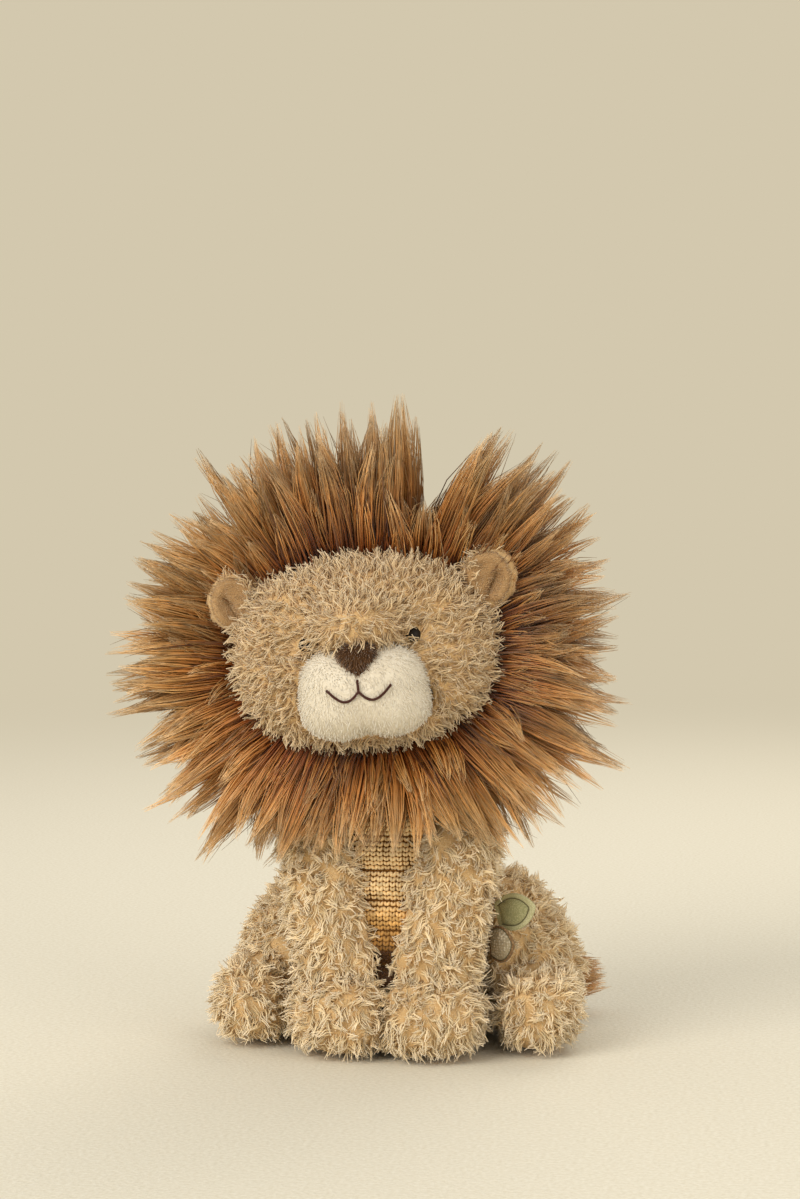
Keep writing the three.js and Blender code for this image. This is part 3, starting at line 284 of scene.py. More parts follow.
def backing(name, dark, light, pitch, depth=0.3, roughness=0.95):
    """A cloth with fine loops at the given pitch in millimetres, and uneven dye."""
    material, shader = cloth(name, roughness, 0.2, 0.2)
    loops = add("ShaderNodeTexVoronoi", {"Vector": on_piece(), "Scale": 1 / (pitch * mm), "Randomness": 0.45})
    bump = add("ShaderNodeBump", {"Height": loops, "Strength": depth, "Distance": pitch * mm / 2}, invert=True)
    feed(shader, {"Base Color": ramp(mottle(9 * mm, 4) + loops, [(0.45, light), (1.15, dark)]), "Normal": bump})
    return material


def plastic(name, speck, dark, light, specular):
    """A moulded plastic with fine specks of a size in metres."""
    material, shader = cloth(name, 0.45, specular=specular)
    feed(shader, {"Base Color": ramp(mottle(speck), [(0.3, dark), (0.7, light)])})
    return material


plush_backing = backing("plush_knit_backing", "#c9a674", "#e4cb9f", 0.8)
mane_backing = backing("fur_knit_backing", "#482206", "#743f12", 1.0)
cream_backing = backing("cream_minky_backing", "#d8cdb8", "#e8e1d2", 0.5, 0.15)
brown_backing = backing("brown_minky_backing", "#402813", "#664728", 0.5)
tan_backing = backing("tan_minky_backing", "#a07e55", "#c4a276", 0.5)
knit_backing = backing("gold_knit_backing", "#63411a", "#93672d", 1.0)
fibrefill = backing("polyester_fibrefill", "#e0dccf", "#f6f3ea", 2.5, 0.6)
pellet_cloth = backing("pellet_pouch_cotton", "#c6bfae", "#dfd9ca", 0.6)
sage_cloth = backing("sage_brushed_cotton", "#8d8b62", "#bfba90", 0.5, 0.35)
sage_rim = backing("sage_brushed_cotton_rim", "#a9a57b", "#cfcba4", 0.5, 0.35)
beige_cloth = backing("grey_beige_boucle", "#a3967b", "#ebe2cc", 1.1, 0.9)
beige_rim = backing("brown_boucle_rim", "#7a5f40", "#a98b66", 1.1, 0.6)
# The yarn's colours run from painted shade, at the inner side of a stitch, to a painted highlight on its outer face.
yarn_stops = [(0, "#4a2d10"), (0.12, "#ab7c3c"), (0.5, "#dcae68"), (1, "#f8dfae")]
knit_yarn = pile("gold_cotton_yarn", yarn_stops, 0.55, 0.25, 0.2)
mouth_thread = pile("rayon_embroidery_thread", [(0, "#2c1008"), (0.5, "#3a160d"), (1, "#55281a")], 0.4, 0, 0.12)
seam_thread = pile("polyester_sewing_thread", [(0, "#4b4630"), (1, "#6a6446")], 0.6, 0, 0.1)

# A safety eye is a moulded dome of ABS plastic. It looks nearly black, with a small highlight.
eye_plastic = plastic("eye_polished_abs", 1 / 900, "#120b07", "#1e140d", 0.2)
# Its washer is moulded polypropylene, milky and satin.
washer_plastic = plastic("washer_polypropylene", 1 / 700, "#e2ded4", "#efece5", 0.5)
print("materials:", len(bpy.data.materials))

# %% [markdown]
# ## Meshes
# Most covers start from their own CAD solids, which are copied and remeshed in small cells, so that the facets of
# the CAD model round off to a stuffed skin. A cover stays hollow, as its solid is.

# %% Helpers for skins


def put(name, mesh):
    """A new object for a mesh, at the origin."""
    piece = bpy.data.objects.new(name, mesh)
    scene.collection.objects.link(piece)
    return piece


def settled(piece):
    """Applies a piece's modifiers, so that its mesh is what they show."""
    bpy.context.view_layer.update()
    shown = bpy.context.evaluated_depsgraph_get()
    made = bpy.data.meshes.new_from_object(
        piece.evaluated_get(shown), preserve_all_data_layers=True, depsgraph=shown
    )
    made.name = piece.name
    piece.modifiers.clear()
    piece.data = made
    return piece


def skin(name, node, cell, rounding, drawn_in, finish):
    """A smooth closed skin over a CAD node: cell and drawn_in are in millimetres, rounding counts the smoothing."""
    mesh = bpy.data.meshes.new(name)
    shape = bmesh.new()
    shape.from_mesh(cad[node].data)
    bmesh.ops.remove_doubles(shape, verts=shape.verts, dist=1e-6)  # joins up the CAD's loose triangles
    shape.to_mesh(mesh)
    shape.free()
    piece = put(name, mesh)
    remesh = piece.modifiers.new("cells", "REMESH")
    remesh.mode, remesh.voxel_size = "VOXEL", cell * mm
    settled(piece)
    smooth = piece.modifiers.new("round off", "SMOOTH")
    smooth.factor, smooth.iterations = 0.5, rounding
    draw = piece.modifiers.new("draw in", "DISPLACE")
    draw.strength, draw.mid_level = -drawn_in * mm, 0
    settled(piece)
    piece.data.shade_smooth()
    piece.data.materials.clear()
    piece.data.materials.append(finish)
    return piece


def points_and_lines(name, places, edges=()):
    """A mesh of points, and of lines between them."""
    mesh = bpy.data.meshes.new(name)
    mesh.from_pydata(places, edges, [])
    return mesh


def mark(mesh, **attributes):
    """Keeps a number or a vector on each point of a mesh, by name."""
    for word, values in attributes.items():
        if isinstance(values[0], Vector):
            axes = [axis for value in values for axis in value]
            mesh.attributes.new(word, "FLOAT_VECTOR", "POINT").data.foreach_set("vector", axes)
        else:
            mesh.attributes.new(word, "FLOAT", "POINT").data.foreach_set("value", values)
    return mesh


def stands_for(piece, node, fill, *growths):
    """Puts a piece in the place of a CAD node. What has grown on it is not used here."""
    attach(piece, body_of[node])
    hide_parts(node)


print("skins ready")

# %% [markdown]
# ## Geometry Nodes
# Everything that repeats is grown by Geometry Nodes: tufts of pile, strands of fur, knitted stitches, satin
# stitches. A tree is built once with named inputs, run on a mesh, and its result is kept as a plain mesh.

# %% Helpers for Geometry Nodes


def growth(name, numbers, *integers):
    """A new tree with a geometry in and out, a material called Finish and inputs by these names, and its inputs."""
    tree = bpy.data.node_groups.new(name, "GeometryNodeTree")
    trees.append(tree)
    tree.interface.new_socket("Geometry", in_out="OUTPUT", socket_type="NodeSocketGeometry")
    kinds = {"Geometry": "Geometry", "Finish": "Material"}
    kinds |= dict.fromkeys(numbers, "Float") | dict.fromkeys(integers, "Int")
    for label, kind in kinds.items():
        tree.interface.new_socket(label, in_out="INPUT", socket_type="NodeSocket" + kind)
    return tree, add("NodeGroupInput")


def grown(tree, name, mesh, body, **values):
    """Runs a tree on a mesh, and returns the result as a plain piece that rides on a body."""
    base = put(name + "_base", mesh)
    modifier = base.modifiers.new("growth", "NODES")
    modifier.node_group = tree
    for item in tree.interface.items_tree:
        if item.in_out == "INPUT" and item.name in values:
            modifier[item.identifier] = values[item.name]
    settled(base)
    piece = put(name, base.data)
    bpy.data.objects.remove(base)
    piece.data.name = name
    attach(piece, body)
    return piece


def named(name, kind="FLOAT"):
    """A number on the geometry, by its name."""
    return add("GeometryNodeInputNamedAttribute", {"Name": name}, data_type=kind)


def arrow(name):
    """A vector on the geometry, by its name."""
    return named(name, "FLOAT_VECTOR")


def chance(low, high, seed):
    """A random number for each element, between low and high."""
    return add("FunctionNodeRandomValue", {2: low, 3: high, "Seed": seed}, data_type="FLOAT")[1]


def store(geometry, name, value):
    """The geometry with a value kept on its points by name."""
    kind = "FLOAT_VECTOR" if value.is_vector else "FLOAT"
    inputs = {"Geometry": geometry, "Name": name, "Value": value}
    return add("GeometryNodeStoreNamedAttribute", inputs, data_type=kind, domain="POINT")


def on_points(points, instance, **inputs):
    """Instances on points, with their Rotation and Scale."""
    return add("GeometryNodeInstanceOnPoints", {"Points": points, "Instance": instance, **inputs})


def real(geometry):
    """Instances made real."""
    return add("GeometryNodeRealizeInstances", {"Geometry": geometry})


def tube(curve, thick):
    """A three-sided tube along a curve, closed at its ends."""
    profile = add("GeometryNodeCurvePrimitiveCircle", {"Resolution": 3, "Radius": 1.0})
    inputs = {"Curve": curve, "Profile Curve": profile, "Scale": thick, "Fill Caps": True}
    return add("GeometryNodeCurveToMesh", inputs)


def turned_to(primary, secondary):
    """A rotation that points X along one vector, and Z as nearly as it can along the other."""
    inputs = {"Primary Axis": primary, "Secondary Axis": secondary}
    return add("FunctionNodeAxesToRotation", inputs, primary_axis="X", secondary_axis="Z")


def axis_of(vector, letter):
    return add("ShaderNodeSeparateXYZ", {0: vector})[letter]


def position():
    return add("GeometryNodeInputPosition")


def ending(geometry, material):
    """The tree's last nodes: real geometry, smooth, in its material."""
    smooth = add("GeometryNodeSetShadeSmooth", {"Geometry": real(geometry)})
    add("NodeGroupOutput", {"Geometry": add("GeometryNodeSetMaterial", {"Geometry": smooth, "Material": material})})


# %% [markdown]
# ### The curly pile
# Plush pile clings together in wisps. Fibres stand on random points of the skin, at least Spacing apart, and a
# Voronoi pattern sorts them into wisps: the fibres of one cell gather to its middle, lean and curl the same way
# and share a shade. The skin's attribute room shortens them where another piece is near.

# %% The tree of the curly pile
numbers = "Spacing Height Curl Turns Thread Lean Wildness Wisp Gather".split()
curly_pile, given = growth("curly_pile", numbers, "Seed")
points = add(
    "GeometryNodeDistributePointsOnFaces",
    {
        "Mesh": given["Geometry"],
        "Selection": named("room") > 0.12,
        "Distance Min": given["Spacing"],
        "Density Max": 1.6 / given["Spacing"] ** 2.0,
        "Seed": given["Seed"],
    },
    distribute_method="POISSON",
)
spot = position()
cells = add("ShaderNodeTexVoronoi", {"Vector": spot, "Scale": 1.0 / given["Wisp"], "Randomness": 1.0})
swirl = (cells["Color"] + (-0.5, -0.5, -0.5)) * given["Wildness"]
inwards = (cells["Position"] - spot) * (given["Gather"] / given["Wisp"])
heading = points["Normal"] + arrow("comb") * given["Lean"] + swirl + inwards
tufts = store(points, "tint", axis_of(cells["Color"], "Z") * 0.6 + chance(0.0, 0.4, 7))
standing = add("FunctionNodeAlignRotationToVector", {"Vector": heading}, axis="Z")
turn = axis_of(cells["Color"], "X") * 19.0 + chance(-0.7, 0.7, 3)
spin = add("FunctionNodeAxisAngleToRotation", {"Axis": (0, 0, 1), "Angle": turn})
standing = add("FunctionNodeRotateRotation", {"Rotation": standing, "Rotate By": spin}, rotation_space="LOCAL")
spiral = {"Rotations": given["Turns"], "Start Radius": 0.1 * mm, "End Radius": given["Curl"], "Height": given["Height"]}
way = add("GeometryNodeSplineParameter")
curl = store(add("GeometryNodeCurveSpiral", {"Resolution": 5, **spiral}), "along", way)
thread = tube(curl, (1.0 - way * 0.7) * given["Thread"])
planted = on_points(tufts, thread, Rotation=standing, Scale=named("room") * chance(0.7, 1.3, 5))
ending(planted, given["Finish"])
print("curly_pile has", len(curly_pile.nodes), "nodes")

# %% [markdown]
# ## Skins with their pile
# Real plush is a thin knitted backing with its pile on it. So each outer face of a skin is drawn in by about the
# height at which its pile lies, while the inner faces stay. A ray from every point finds how near the next piece
# is: there the pile is short or left out, as it is in a seam.

# %% Room, combing and drawing in
touch_reach = 1.2  # where another piece is nearer than this, in millimetres, the skin is drawn in less
lump_size = 9  # millimetres across one soft lump of the stuffing
pressed_below = 6  # millimetres over the floor, where the pile begins to be pressed short
under_foot = 4  # millimetres over the floor, where a skin that faces down has no pile


def solids_but(*names):
    """A search tree over every CAD solid except the named ones."""
    points, faces = [], []
    for name, node in cad.items():
        if name in names:
            continue
        start = len(points)
        points += [vertex.co for vertex in node.data.vertices]
        faces += [[start + i for i in face.vertices] for face in node.data.polygons]
    return BVHTree.FromPolygons(points, faces)


def way_free(tree, place, out, reach):
    """How far the next solid is along a way out, in millimetres and up to a reach."""
    distance = tree.ray_cast(place, out, reach * mm)[3]
    return reach if distance is None else distance / mm


def measured(piece, node, soft, comb, depth, reach=3.5, shorter=None, fuller=None, lumps=0.0, free=(), bare=0.9):
    """Keeps on a skin the room and combing of its pile, and draws its outer faces in by a depth in millimetres.

    Soft neighbours leave the pile its full height, unless they touch, and free ones are passed over. Lumps is
    the height of the soft lumps that the stuffing makes. Where another piece is nearer than bare, no pile grows.
    Where the toy sits on the floor its pile is pressed short.
    """
    touching, standing, mesh = solids_but(node, *free), solids_but(node, *soft, *free), piece.data
    rooms, combs, places = [], [], []
    for vertex in mesh.vertices:
        place, out = vertex.co.copy(), vertex.normal.copy()
        start = place + out * 0.05 * mm
        gap, near = way_free(standing, start, out, reach), way_free(touching, start, out, touch_reach)
        hidden = near < bare or (out.z < -0.4 and place.z < under_foot * mm)
        room = 0 if hidden else limited(0.35 + 0.65 * gap / reach)
        room *= min(1, 0.5 + 0.5 * place.z / (pressed_below * mm))
        if shorter:
            room *= shorter(place)
        way = comb(place)
        way -= out * way.dot(out)
        rooms.append(room)
        combs.append(way / max(1, way.length))
        inwards = depth - (fuller(place, out) if fuller else 0) - lumps * noise.noise(place / (lump_size * mm))
        place -= out * inwards * mm * limited((near - 0.5) / 0.7) * limited((gap - 0.6) / 2)
        place.z = max(place.z, 0.4 * mm)
        places.extend(place)
    mesh.vertices.foreach_set("co", places)
    mark(mesh, room=rooms, comb=combs)
    mesh.update()


def with_pile(cover, node, fill, **values):
    """Grows pile on a measured cover, which then stands for a CAD node."""
    tufts = grown(curly_pile, node + "_pile", cover.data.copy(), body_of[node], **values)
    stands_for(cover, node, fill, tufts)
    print(node, "cover", len(cover.data.polygons), "faces, pile", len(tufts.data.polygons), "faces")


def downwards(place):
    return Vector((0, 0, -1))


# Sizes in metres of the pile on the body: fibres about 6 mm long, in wisps about 3 mm apart.
body_pile = {"Spacing": 0.78 * mm, "Height": 4.4 * mm, "Curl": 1.7 * mm, "Thread": 0.38 * mm, "Wisp": 3.3 * mm}
body_pile |= {"Turns": 0.5, "Lean": 0.9, "Wildness": 2.3, "Gather": 1.1}


def plush_piece(
    node, cell=2.0, rounding=6, depth=1.2, comb=downwards, shorter=None, fuller=None, fill=0.7, soft=(), free=(),
    bare=0.4, finish=plush_pile, **changes
):
    """The stuffed plush cover that stands for a CAD node, with its curly pile."""
    cover = skin(node + "_cover", node, cell, rounding, 0, plush_backing)
    measured(cover, node, soft, comb, depth, shorter=shorter, fuller=fuller, lumps=1.4, free=free, bare=bare)
    with_pile(cover, node, fill, **{**body_pile, **changes}, Seed=len(node) * 7, Finish=finish)


mane_nodes = [name for name in cad if name.startswith("mane_")]

# %% [markdown]
# ### Body, legs and tail
# The pile of the body hangs down a little and curls in all directions.

# %% Plush of the body


def over_seam(place):
    """The pile of the back hangs down, and beside the seam in its middle it leans over the seam.

    The two covers end about 4 mm apart there, and the pile doesn't hide all of that gap.
    """
    return Vector((-2.2 * math.copysign(1, place.x) * bell(place.x, 4 * mm), 0, -1))


def clear_of_leaves(place):
    """The pile is clipped where the two leaves come out of the side seam."""
    return 0.6 if place.x > 33 * mm and 33 * mm < place.z < 56 * mm and place.y > -32 * mm else 1


def fuller_inside(place, out):
    """How many millimetres the front legs bulge towards each other, up to the middle of the toy and not past it."""
    inwards = max(0, -out.x * math.copysign(1, place.x))
    bulge = inwards * np.interp(place.z / mm, [0, 8, 38, 48, 60, 90], [0, 6, 6.6, 5.0, 3.6, 0])
    return min(bulge, (abs(place.x) / mm - 0.7) / max(0.2, inwards) + 1.2)


around = [*mane_nodes, "leaf_tab_upper", "leaf_tab_lower", "tail", "tail_tuft"]
for side in ("left", "right"):
    back, haunch, hind_paw = "back_" + side, "hind_leg_" + side, "hind_paw_" + side
    leg, front_paw = "front_leg_" + side, "front_paw_" + side
    plush_piece(back, comb=over_seam, soft=[*around, "back_left", "back_right", "neck"], Spacing=0.95 * mm)
    plush_piece(haunch, soft=[*around, hind_paw])
    plush_piece(hind_paw, soft=[*around, haunch])
    by_chest = {"cell": 1.6, "fuller": fuller_inside}
    plush_piece(leg, soft=[*around, front_paw, "chest_panel"], shorter=clear_of_leaves, **by_chest)
    plush_piece(front_paw, soft=[*around, leg, "chest_panel"], **by_chest)
plush_piece("neck", fill=0.8, soft=[*mane_nodes, "face", "back_left", "back_right"], Spacing=1.1 * mm)
plush_piece("tail", cell=1.2, fill=0.6, soft=["back_left", "back_right"])
plush_piece("seat_panel", cell=1.2, depth=0.4, fill=0.3, Height=1.2 * mm, Curl=0.4 * mm, Spacing=1.5 * mm)

# %% [markdown]
# ### Face and ears
# The face's pile is shorter, straighter and combed away from the nose. Round the eyes it is clipped, so that the
# small dark domes can be seen between the tufts.

# %% Plush of the face
nose_place = head_frame @ on_head(0, 52, 0.4)
eye_places = []
for side in (-1, 1):
    across, above = side * 20.5, 7
    full = 1 - (abs(across) / head_half.x) ** head_power - (above / head_half.z) ** head_power
    forward = head_half.y * full ** (1 / head_power)
    out = Vector((across / head_half.x**2, -forward / head_half.y**2, above / head_half.z**2)).normalized()
    eye_places.append((on_head(across, forward, above), out))


def from_nose(place):
    """The face is combed away from the nose, but tufts hang over the nose's top."""
    way = (place - nose_place).normalized()
    at = in_head(place)
    way.z -= 2.6 * math.exp(-((at.x / 15) ** 4) - (((at.z - 8) / 6) ** 4))
    return way


def clipped_round_eyes(place):
    """No pile under an eye, and long pile beside it towards the nose, where the bridge's tufts hang over it."""
    nearest = min((place - head_frame @ at for at, out in eye_places), key=lambda way: way.length)
    if (nearest + Vector((0.3 if place.x > nose_place.x else -0.9, 0, 0.8)) * mm).length < 2.2 * mm:
        return 0
    inner = nearest.dot((place - nearest - nose_place).normalized()) < 0
    return 1.3 if inner and nearest.length < 6.5 * mm else 1


def fuller_brows(place, out):
    """How many millimetres the stuffed face stands out: more in the bridge, the brows and the left cheek."""
    at = in_head(place)
    cheek = 3.4 * limited((-at.x - 22) / 22) + limited((at.x - 25) / 20)
    crown = 1.6 * limited((at.z - 12) / 14)
    if at.y > -20:
        return (cheek + crown) * (at.y < -4)
    bridge = 2.8 * math.exp(-((at.x / 13) ** 2) - (((at.z - 10) / 9) ** 2))
    sockets = sum(3.4 * bell((place - head_frame @ eye).length, 5.5 * mm) for eye, _ in eye_places)
    return bridge + 1.0 + cheek + crown - sockets


sizes = {"Spacing": 0.8 * mm, "Curl": 1.6 * mm, "Thread": 0.36 * mm, "Wisp": 2.3 * mm, "Lean": 1.1, "Wildness": 1.8}
soft = ["ear_left", "ear_right", "eye_left", "eye_right", "nose", "muzzle"]
clipping = {"comb": from_nose, "shorter": clipped_round_eyes, "fuller": fuller_brows, "bare": 0.9, "free": mane_nodes}
plush_piece("face", cell=1.6, depth=0.6, soft=soft, finish=face_pile, **clipping, **sizes)


def bare_outer_rim(place):
    """The pile of an ear is long towards the crown and short at its outer rim."""
    at = in_head(place)
    return 1.15 if abs(at.x) < 52 else 0.3


for side in ("left", "right"):
    sizes = {"Spacing": 0.95 * mm, "Height": 3.4 * mm, "Curl": 1.0 * mm, "Thread": 0.33 * mm, "Lean": 0.5}
    soft, clipping = [*mane_nodes, "face", "ear_lining_" + side], {"comb": from_nose, "shorter": bare_outer_rim}
    plush_piece("ear_" + side, cell=0.9, depth=0.4, rounding=4, soft=soft, finish=face_pile, **clipping, **sizes)

# %% [markdown]
# ### Muzzle and nose
# Minky is a short, dense pile, about 1.5 mm high, brushed one way. It is grown by the same tree with short straight
# tufts. The muzzle is lofted finely from the CAD's own measures, with the dart that gathers it below.

# %% Loft


def loft(name, rings, finish):
    """A closed skin over rings of points. A ring of one point is a pole, and other ends are closed flat."""
    shape = bmesh.new()
    rows = [[shape.verts.new(point) for point in ring] for ring in rings]
    for row, following in zip(rows, rows[1:]):
        count = max(len(row), len(following))
        for i in range(count):
            corners = [row[i % len(row)], row[(i + 1) % len(row)]]
            corners += [following[(i + 1) % len(following)], following[i % len(following)]]
            shape.faces.new(list(dict.fromkeys(corners)))
    for row in (rows[0], rows[-1]):
        if len(row) > 1:
            shape.faces.new(row)
    bmesh.ops.recalc_face_normals(shape, faces=shape.faces)
    mesh = bpy.data.meshes.new(name)
    shape.to_mesh(mesh)
    shape.free()
    mesh.shade_smooth()
    mesh.materials.append(finish)
    return put(name, mesh)


def superellipse(count, power):
    """Points round a superellipse of half size 1: (rightwards, upwards)."""
    turns = [math.tau * i / count for i in range(count)]
    bent = lambda v: math.copysign(abs(v) ** (2 / power), v)
    return [(bent(math.cos(a)), bent(math.sin(a))) for a in turns]


def ball_front(across, above, grow):
    """How far in front of the head's middle its ball lies, grown by a distance, or 0 beside it."""
    full = 1 - (abs(across) / (head_half.x + grow)) ** head_power - (abs(above) / (head_half.z + grow)) ** head_power
    return (head_half.y + grow) * max(0, full) ** (1 / head_power)


# %% Muzzle
muzzle_half, muzzle_below, muzzle_front, muzzle_depth, rows_of_muzzle = (23.4, 17), 12.5, 53, 30, 24
rings = [[head_frame @ on_head(0, muzzle_front, -muzzle_below)]]
for step in range(1, rows_of_muzzle + 1):
    at = 1 - math.cos(math.pi / 2 * step / rows_of_muzzle)
    full = math.sqrt(max(0, 1 - max(0, 1 - at / 0.5) ** 2))
    ring = []
    for x, z in superellipse(72, 2.8):
        dart = 2.4 * full * bell(math.atan2(x, -z), 0.2)
        square = 1 + 0.1 * max(0, z) * abs(x)  # its upper corners are fuller than its chin
        across = x * full * muzzle_half[0] * (1 - 0.1 * z * full) * square
        above = z * full * muzzle_half[1] * square + dart - muzzle_below
        forward = max(muzzle_front - muzzle_depth * at, ball_front(across, above, -1.5))
        ring.append(head_frame @ on_head(across, forward, above))
    rings.append(ring)
muzzle = loft("muzzle_cover", rings, cream_backing)


def brushed_down(place):
    return Vector((0, 0.3, -1))


def minky_piece(
    piece, node, comb, finish, fill, soft=(), height=1.5, spacing=0.75, thread=0.2, shorter=None, fuller=None
):
    """Short brushed pile, in millimetres, on a piece that stands for a CAD node."""
    measured(piece, node, soft, comb, 0.4, reach=2, shorter=shorter, fuller=fuller)
    sizes = {"Spacing": spacing * mm, "Height": height * mm, "Thread": thread * mm, "Curl": 0.15 * mm, "Wisp": 2 * mm}
    ways = {"Turns": 0.34, "Lean": 1.1, "Wildness": 0.9, "Gather": 0.5}
    with_pile(piece, node, fill, **sizes, **ways, Seed=11, Finish=finish)


soft = ["nose", "mouth_stitching", "face"]
minky_piece(muzzle, "muzzle", brushed_down, cream_pile, 0.8, soft, spacing=0.8)

# %% Nose
nose_half, nose_middle, nose_front, nose_thick, rows_of_nose = (10.0, 7.3), -0.9, 52.8, 11, 16
rings = [[head_frame @ on_head(0, nose_front, nose_middle)]]
for step in range(1, rows_of_nose):
    at = step / rows_of_nose
    full = math.sqrt(1 - abs(1 - 2 * at) ** 2)
    ring = []
    for x, z in superellipse(40, 2.5):
        across = x * full * nose_half[0] * (1 + 0.42 * (z * full - 1))
        ring.append(head_frame @ on_head(across, nose_front - nose_thick * at, z * full * nose_half[1] + nose_middle))
    rings.append(ring)
rings.append([head_frame @ on_head(0, nose_front - nose_thick, nose_middle)])
nose = loft("nose_cover", rings, brown_backing)
minky_piece(nose, "nose", brushed_down, brown_pile, 0.8, soft=["muzzle", "face"], height=1.9, spacing=0.62)

# %% [markdown]
# ### Ear linings
# The inside of each ear is smooth minky. The ear is pinched where it is sewn to the head, so its lining swells to
# both sides of a slit that runs from the middle of the ear down to the head.

# %% Ear linings
for side, mirror in (("left", -1), ("right", 1)):
    node = "ear_lining_" + side
    lining = skin(node + "_cover", node, 0.6, 4, 0, tan_backing)
    low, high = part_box(node)
    middle = head_frame.inverted() @ ((low + high) / 2)

    def on_ear(place):
        """Millimetres outwards and upwards from the ear's middle, and beyond the line of the slit."""
        at = head_frame.inverted() @ place - middle
        return at.x * mirror, at.z, 0.885 * (at.x * mirror - 2.6) - 0.46 * (at.z - 0.5)

    def swollen(place, out):
        """How many millimetres the lining stands out: a mound towards the head, a slit, and a rolled rim."""
        outwards, upwards, beyond = on_ear(place)
        facing = max(0, -(head_frame.to_3x3().inverted() @ out).normalized().y)
        roll = -3.0 + 5.6 * limited(beyond / 4.5) ** 0.7
        mound = -3.0 + 5.6 * (1 - bell(min(0, beyond), 1.3))
        cleft = roll if beyond > 0 else mound
        closed = limited((upwards + 0.5) / 4)
        return facing * (cleft * (1 - closed) + 2.4 * closed)

    def minky_side(place):
        outwards, upwards, _ = on_ear(place)
        return outwards > -4.2 + (upwards - 5) * 0.33

    sizes = {"height": 1.0, "thread": 0.17, "spacing": 0.62}
    minky_piece(lining, node, from_nose, tan_pile, 0.3, ["ear_" + side], **sizes, shorter=minky_side, fuller=swollen)
    # Plush tufts reach over the lining from the side of the crown.
    edge = lining.data.copy()
    here = [0 if minky_side(vertex.co) else 1.1 for vertex in edge.vertices]
    edge.attributes["room"].data.foreach_set("value", here)
    values = {**body_pile, "Height": 3.4 * mm, "Curl": 1.0 * mm, "Seed": 3, "Finish": face_pile}
    tufts = grown(curly_pile, node + "_edge_pile", edge, body_of[node], **values)
    slot_of["ear_" + side]

# %% [markdown]
# ### Eyes and stitched mouth
# The safety eyes are turned plastic parts: a polished dome with a stem behind it. The mouth is satin stitch, short
# threads laid side by side across a line. Geometry Nodes lay them along the line.

# %% Eyes
sunk = 1.9  # millimetres from the solid face down to the dome's edge
for side, (at, out) in zip(("left", "right"), eye_places):
    node = "eye_" + side
    across = out.cross(Vector((0, 0, 1))).normalized()
    up = across.cross(out)
    # radius and height of the turned profile in millimetres: the dome, its lip and the stem
    dome = [(2.9 * math.sin(a), 2.2 * math.cos(a)) for a in np.linspace(0, math.pi / 2, 9)]
    profile = dome + [(2.8, -0.25), (1.7, -0.25), (1.6, -0.6), (1.6, -8.2), (1.3, -8.6), (0, -8.6)]
    rings = []
    for radius, height in profile:
        middle = at + out * (height - sunk)
        if radius < 1e-6:
            rings.append([head_frame @ middle])
            continue
        turns = [math.tau * i / 28 for i in range(28)]
        rings.append([head_frame @ (middle + (across * math.cos(a) + up * math.sin(a)) * radius) for a in turns])
    stands_for(loft(node + "_dome", rings, eye_plastic), node, None)
    cad["eye_washer_" + side].data.materials.clear()
    cad["eye_washer_" + side].data.materials.append(washer_plastic)

# %% The tree of the satin stitches
satin, given = growth("satin_stitching", ["Pitch", "Width", "Thick"])
line = add("GeometryNodeMeshToCurve", {"Mesh": given["Geometry"]})
line = add("GeometryNodeResampleCurve", {"Curve": line, "Length": given["Pitch"]}, mode="LENGTH")
turned = turned_to(add("GeometryNodeInputTangent"), arrow("outward"))
thread = add("GeometryNodeMeshUVSphere", {"Segments": 8, "Rings": 7, "Radius": 0.5})
thread = store(thread, "along", 1.0 - reckoned("ABSOLUTE", axis_of(position(), "Z")))
thick = add("ShaderNodeCombineXYZ", {0: given["Pitch"] * 1.7, 1: given["Width"], 2: given["Thick"]})
line = store(line, "tint", chance(0.0, 1.0, 4))
ending(on_points(line, thread, Rotation=turned, Scale=thick), given["Finish"])


def sewn(name, strokes, body, **values):
    """Satin stitches along strokes, which are lists of (place, way out)."""
    places, edges, outwards = [], [], []
    for stroke in strokes:
        edges += [(len(places) + i, len(places) + i + 1) for i in range(len(stroke) - 1)]
        places += [place for place, _ in stroke]
        outwards += [out for _, out in stroke]
    path = mark(points_and_lines(name + "_path", places, edges), outward=outwards)
    stitches = grown(satin, name, path, body, **values)
    return stitches


# %% Mouth
muzzle_tree = BVHTree.FromObject(muzzle, bpy.context.evaluated_depsgraph_get())
backwards = (head_frame.to_3x3() @ Vector((0, 1, 0))).normalized()
# millimetres from its middle to a corner, height of that middle, sag of a side, length of the upright
mouth_wide, mouth_top, mouth_sag, upright = 11.4, -11.0, 3.6, 3.6


def on_muzzle(across, above):
    """A place 1 mm off the muzzle, straight behind a place in front of it, and the way out of it."""
    place, out, _, _ = muzzle_tree.ray_cast(head_frame @ on_head(across, 80, above), backwards)
    return place + out * mm, out


strokes = []
for side in (-1, 1):
    stroke = []
    for t in np.linspace(0, 1, 24):
        sag = mouth_sag * math.sin(math.pi * t**0.9)
        stroke.append(on_muzzle(side * mouth_wide * t, mouth_top - sag + 1.2 * t * t))
    strokes.append(stroke)
strokes.append([on_muzzle(0, mouth_top + upright * (1 - t)) for t in np.linspace(0, 1, 8)])
mouth = sewn("mouth_satin", strokes, "head", Pitch=0.32 * mm, Width=1.1 * mm, Thick=0.8 * mm, Finish=mouth_thread)
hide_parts("mouth_stitching")
print("mouth:", len(mouth.data.polygons), "faces")

# %% [markdown]
# ## The mane
# Long-pile faux fur falls into locks: bundles of strands that start side by side and gather to a point. A guide
# describes each lock by its root, its middle and its tip, and a Geometry Nodes tree fans the strands round it. The
# guides follow the same fan as the CAD's solid locks: out from the rim of the face, rounding over to the back.

